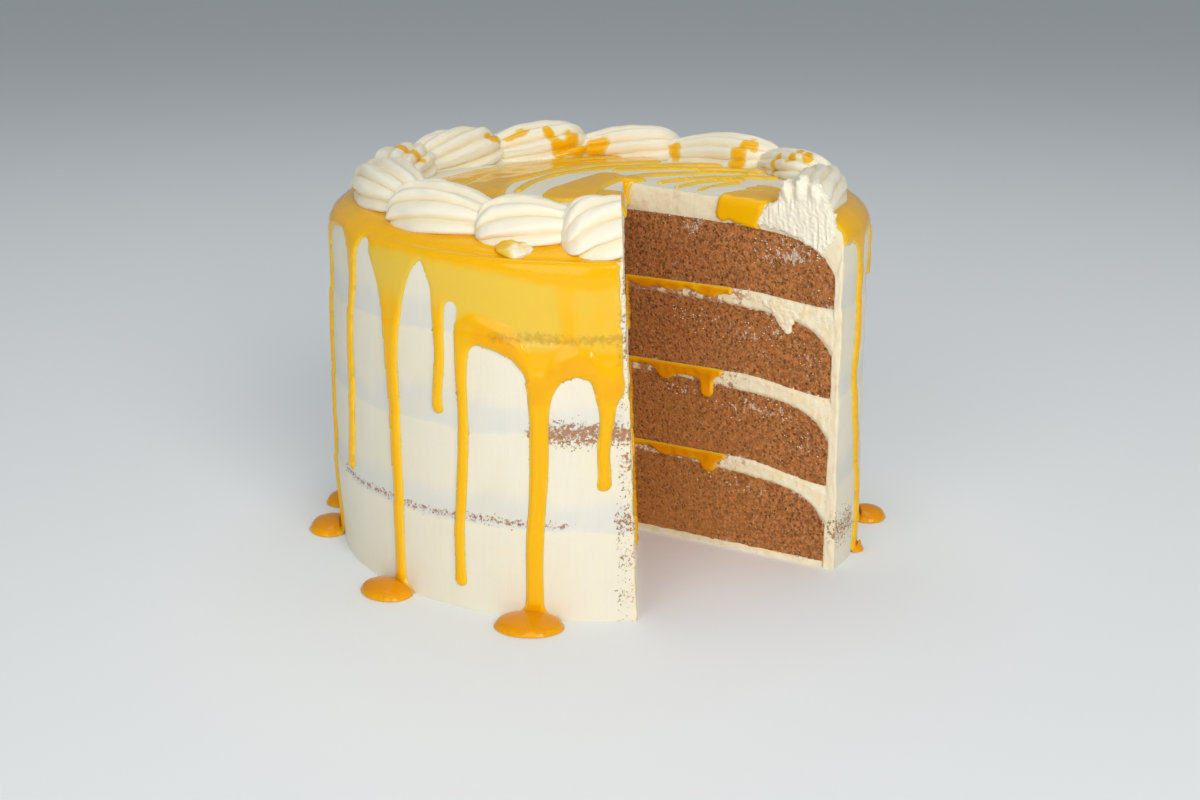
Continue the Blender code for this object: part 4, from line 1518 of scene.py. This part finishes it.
def outline_distance(outline, x, y):
    """Distance from a closed outline, below zero inside it."""
    nearest = 1.0
    inside = False
    for (x0, y0), (x1, y1) in zip(outline, outline[1:] + outline[:1]):
        along_x, along_y = x1 - x0, y1 - y0
        share = ((x - x0) * along_x + (y - y0) * along_y) / (along_x * along_x + along_y * along_y)
        share = max(0.0, min(1.0, share))
        nearest = min(nearest, math.hypot(x - x0 - share * along_x, y - y0 - share * along_y))
        if (y0 > y) != (y1 > y) and x < x0 + (y - y0) * along_x / along_y:
            inside = not inside
    return -nearest if inside else nearest


class CAKE_OT_combed_cream(bpy.types.Operator):
    """Build the torn, combed cream at the rim end of the right cut and the cream in the sponge's notch"""

    bl_idname = "cake.combed_cream"
    bl_label = "Combed cream"

    CELL = 0.00042
    # Distance between the lobes of the torn upper edge
    LOBE_WIDTH = 0.0055

    def lay_patch(self, name, outline, depth, mat):
        out = cut_normal(RIGHT)

        def field(s, z):
            ragged = 0.0007 * wobble(s, z, 0.0, 0.0016) + 0.0004 * wobble(s, z, 4.0, 0.0007)
            return outline_distance(outline, s, z) + ragged

        far = [s for s, z in outline]
        high = [z for s, z in outline]
        bm = flat_grid(
            min(far) - 0.0020, max(far) + 0.0015, min(high) - 0.0015, max(high) + 0.0012, self.CELL)
        lay_sauce(
            bm, lambda s, z: from_corner(s, RIGHT, z), field, depth, lambda s, z: 0.0010, 0.0013,
            lambda point: out)
        finish_piece(name, bm, mat)

    def execute(self, context):
        def combed(s, z):
            teeth = wobble(s * 3.2, z * 0.45, 0.0, 0.0030)
            fine = wobble(s, z, 2.0, 0.0009)
            upright = smooth((z - 0.1335) / 0.005)
            lobes = 0.5 + 0.5 * math.cos((s - 0.0672) * math.tau / self.LOBE_WIDTH)
            return 0.0014 + 0.0005 * teeth + 0.0003 * fine + 0.0016 * upright * lobes

        def pressed(s, z):
            return 0.0007 + 0.0003 * wobble(s, z, 5.0, 0.0012)

        self.lay_patch("combed_cream", COMBED, combed, piped_cream())
        self.lay_patch("notch_cream", NOTCH, pressed, bpy.data.materials["cut_cream"])
        return {"FINISHED"}


class CAKE_OT_crumbs(bpy.types.Operator):
    """Scatter loose crumbs and flecks of cream, and lay a blob of cream below the shells"""

    bl_idname = "cake.crumbs"
    bl_label = "Crumbs and flecks"

    SIDE_CRUMBS = 420
    CUT_FLECKS = 520
    TOP_FLECKS = 70
    BLOB_DEG = -106.9
    BLOB_R = 0.0945
    BLOB_HALF_LENGTH = 0.0062
    BLOB_HALF_WIDTH = 0.0042
    BLOB_HALF_HEIGHT = 0.0022

    def scatter(self, name, places, sizes, mat, slot):
        """One joined piece of small uneven lumps."""
        bm = bmesh.new()
        for place, size in zip(places, sizes):
            made = bmesh.ops.create_icosphere(bm, subdivisions=1, radius=size)
            verts = made["verts"]
            for vert in verts:
                vert.co *= 1.0 + 0.45 * noise.noise(vert.co / size + place * 900.0)
                vert.co.z *= 0.75
            bmesh.ops.translate(bm, verts=verts, vec=place)
        finish_piece(name, bm, mat)

    def lay_blob(self):
        """A blob of cream that the sauce partly covers, below the shells."""
        bm = bmesh.new()
        bmesh.ops.create_uvsphere(bm, u_segments=40, v_segments=28, radius=1.0)
        centre = on_ring(self.BLOB_R, self.BLOB_DEG, 0.0)
        centre.z = sauced_top(self.BLOB_R, self.BLOB_DEG) + 0.0006
        along = on_ring(self.BLOB_HALF_LENGTH, self.BLOB_DEG + 90.0, 0.0)
        across = on_ring(self.BLOB_HALF_WIDTH, self.BLOB_DEG, -0.0016)
        for vert in bm.verts:
            lump = 1.0 + 0.30 * noise.noise(vert.co * 1.3) + 0.12 * noise.noise(vert.co * 4.0)
            x, y, z = vert.co * lump
            vert.co = centre + along * x + across * y + Vector((0.0, 0.0, self.BLOB_HALF_HEIGHT * z))
        piece = finish_piece("cream_blob", bm, bpy.data.materials["piped_cream"])
        paint(piece, "stain", lambda co: 0.42 - 40.0 * (co - centre).dot(along.normalized()))

    def execute(self, context):
        dice = random.Random(11)
        crumbs, crumb_sizes = [], []
        while len(crumbs) < self.SIDE_CRUMBS:
            deg = dice.uniform(-180.0, 180.0)
            z = dice.uniform(0.002, 0.118)
            chance = bare_crumb(deg, z)
            if -83.0 < deg < -32.6 or dice.random() > chance * 1.5 - 0.2:
                continue
            u = math.radians(deg if deg > SAUCE_FROM_DEG else deg + 360.0) * SAUCE_R
            if side_field(u, RIM_Z - z + RIM_R - COLLAR_START_R) < 0.0005:
                continue
            crumbs.append(on_ring(coat_wall(deg, z) + 0.00005, deg, z))
            crumb_sizes.append(dice.uniform(0.00012, 0.00030))
        sponge = bpy.data.materials["sponge_crumb"]
        self.scatter("crumbs_side", crumbs, crumb_sizes, sponge, "sponge")

        flecks, fleck_sizes = [], []
        while len(flecks) < self.CUT_FLECKS:
            turn = RIGHT if dice.random() < 0.6 else LEFT
            s = dice.uniform(0.004, 0.084)
            z = dice.uniform(0.004, 0.126)
            place = from_corner(s, turn, z)
            if knife_smear(place) < dice.uniform(0.15, 0.80):
                continue
            flecks.append(place + cut_normal(turn) * 0.0001)
            fleck_sizes.append(dice.uniform(0.00014, 0.00036))
        while len(flecks) < self.CUT_FLECKS + self.TOP_FLECKS:
            spot = on_ring(dice.uniform(0.058, 0.072), dice.gauss(112.0, 16.0), 0.0)
            spot.z = swirled_top(spot.x, spot.y) + 0.0001
            flecks.append(spot)
            fleck_sizes.append(dice.uniform(0.0002, 0.0006))
        self.lay_blob()
        self.scatter("cream_flecks", flecks, fleck_sizes, bpy.data.materials["cut_cream"], "buttercream")
        return {"FINISHED"}


class CAKE_OT_stage(bpy.types.Operator):
    """Add the floor, the lights and the camera"""

    bl_idname = "cake.stage"
    bl_label = "Stage"

    FLOOR_SIZE = 6.0
    ROOM_COLOUR = (0.80, 0.87, 0.92, 1.0)
    ROOM_LIGHT = 0.32
    # Lights: name, place, size, colour. The setting of the same name holds the power
    LIGHTS = (
        ("key", (0.50, -1.35, 0.90), 0.8, (1.0, 0.97, 0.93)),
        ("fill", (-0.50, -1.30, 0.60), 1.0, (0.97, 0.98, 1.0)),
        ("spark", (0.34, -1.30, 0.42), 0.10, (1.0, 0.99, 0.97)),
        ("top", (0.0, 0.35, 1.35), 1.0, (1.0, 1.0, 1.0)),
    )

    def add_light(self, name, place, size, power, colour):
        light = bpy.data.lights.new(name, "AREA")
        light.shape = "DISK"
        light.size = size
        light.energy = power
        light.color = colour
        lamp = bpy.data.objects.new(name, light)
        bpy.context.scene.collection.objects.link(lamp)
        lamp.location = place
        aim = Vector((0.0, 0.0, MIDDLE_Z)) - Vector(place)
        lamp.rotation_euler = aim.to_track_quat("-Z", "Y").to_euler()

    def add_floor(self, settings):
        bm = bmesh.new()
        bmesh.ops.create_grid(bm, x_segments=2, y_segments=2, size=self.FLOOR_SIZE)
        mesh = bpy.data.meshes.new("floor")
        bm.to_mesh(mesh)
        bm.free()
        mat = bpy.data.materials.new("floor_paper")
        mat.use_nodes = True
        bsdf = mat.node_tree.nodes["Principled BSDF"]
        bsdf.inputs["Base Color"].default_value = (*settings.floor, 1.0)
        bsdf.inputs["Roughness"].default_value = 0.8
        mesh.materials.append(mat)
        floor = bpy.data.objects.new("floor", mesh)
        bpy.context.scene.collection.objects.link(floor)

    def add_camera(self):
        camera = bpy.data.cameras.new("camera")
        camera.lens = CAMERA_LENS
        camera.sensor_width = 36.0
        camera.clip_start = 0.01
        holder = bpy.data.objects.new("camera", camera)
        bpy.context.scene.collection.objects.link(holder)
        tilt = Matrix.Rotation(math.pi / 2.0 - CAMERA_PITCH, 4, "X") @ Matrix.Rotation(CAMERA_ROLL, 4, "Z")
        holder.matrix_world = Matrix.Translation(CAMERA_PLACE) @ tilt
        bpy.context.scene.camera = holder

    def execute(self, context):
        settings = context.scene.cake_stage
        self.add_floor(settings)
        for name, place, size, colour in self.LIGHTS:
            self.add_light(name, place, size, getattr(settings, name + "_power"), colour)
        world = bpy.data.worlds.new("soft_room")
        world.use_nodes = True
        back = world.node_tree.nodes["Background"]
        back.inputs["Color"].default_value = self.ROOM_COLOUR
        back.inputs["Strength"].default_value = self.ROOM_LIGHT
        context.scene.world = world
        context.scene.view_settings.view_transform = "Standard"
        self.add_camera()
        return {"FINISHED"}


class CAKE_PT_panel(bpy.types.Panel):
    """Lists the pieces of the cake and the values that shape them"""

    bl_idname = "CAKE_PT_panel"
    bl_label = "Layer Cake"
    bl_space_type = "VIEW_3D"
    bl_region_type = "UI"
    bl_category = "Cake"

    def draw(self, context):
        layout = self.layout
        scene = context.scene
        for group in (scene.cake_look, scene.cake_relief, scene.cake_stage):
            box = layout.box()
            for name in group.__annotations__:
                box.prop(group, name)
        for operator in OPERATORS:
            layout.operator(operator.bl_idname)


OPERATORS = (
    CAKE_OT_sponges, CAKE_OT_fillings, CAKE_OT_caramel, CAKE_OT_coat, CAKE_OT_side_sauce,
    CAKE_OT_top_sauce, CAKE_OT_shells, CAKE_OT_combed_cream, CAKE_OT_crumbs, CAKE_OT_stage,
)
CLASSES = (CakeLook, CakeRelief, CakeStage) + OPERATORS + (CAKE_PT_panel,)


def register():
    for cls in CLASSES:
        bpy.utils.register_class(cls)
    bpy.types.Scene.cake_look = bpy.props.PointerProperty(type=CakeLook)
    bpy.types.Scene.cake_relief = bpy.props.PointerProperty(type=CakeRelief)
    bpy.types.Scene.cake_stage = bpy.props.PointerProperty(type=CakeStage)


def unregister():
    del bpy.types.Scene.cake_stage
    del bpy.types.Scene.cake_relief
    del bpy.types.Scene.cake_look
    for cls in reversed(CLASSES):
        bpy.utils.unregister_class(cls)


def main():
    register()
    bpy.ops.cake.sponges()
    bpy.ops.cake.fillings()
    bpy.ops.cake.caramel()
    bpy.ops.cake.coat()
    bpy.ops.cake.side_sauce()
    bpy.ops.cake.top_sauce()
    bpy.ops.cake.shells()
    bpy.ops.cake.combed_cream()
    bpy.ops.cake.crumbs()
    bpy.ops.cake.stage()


if __name__ == "__main__":
    main()
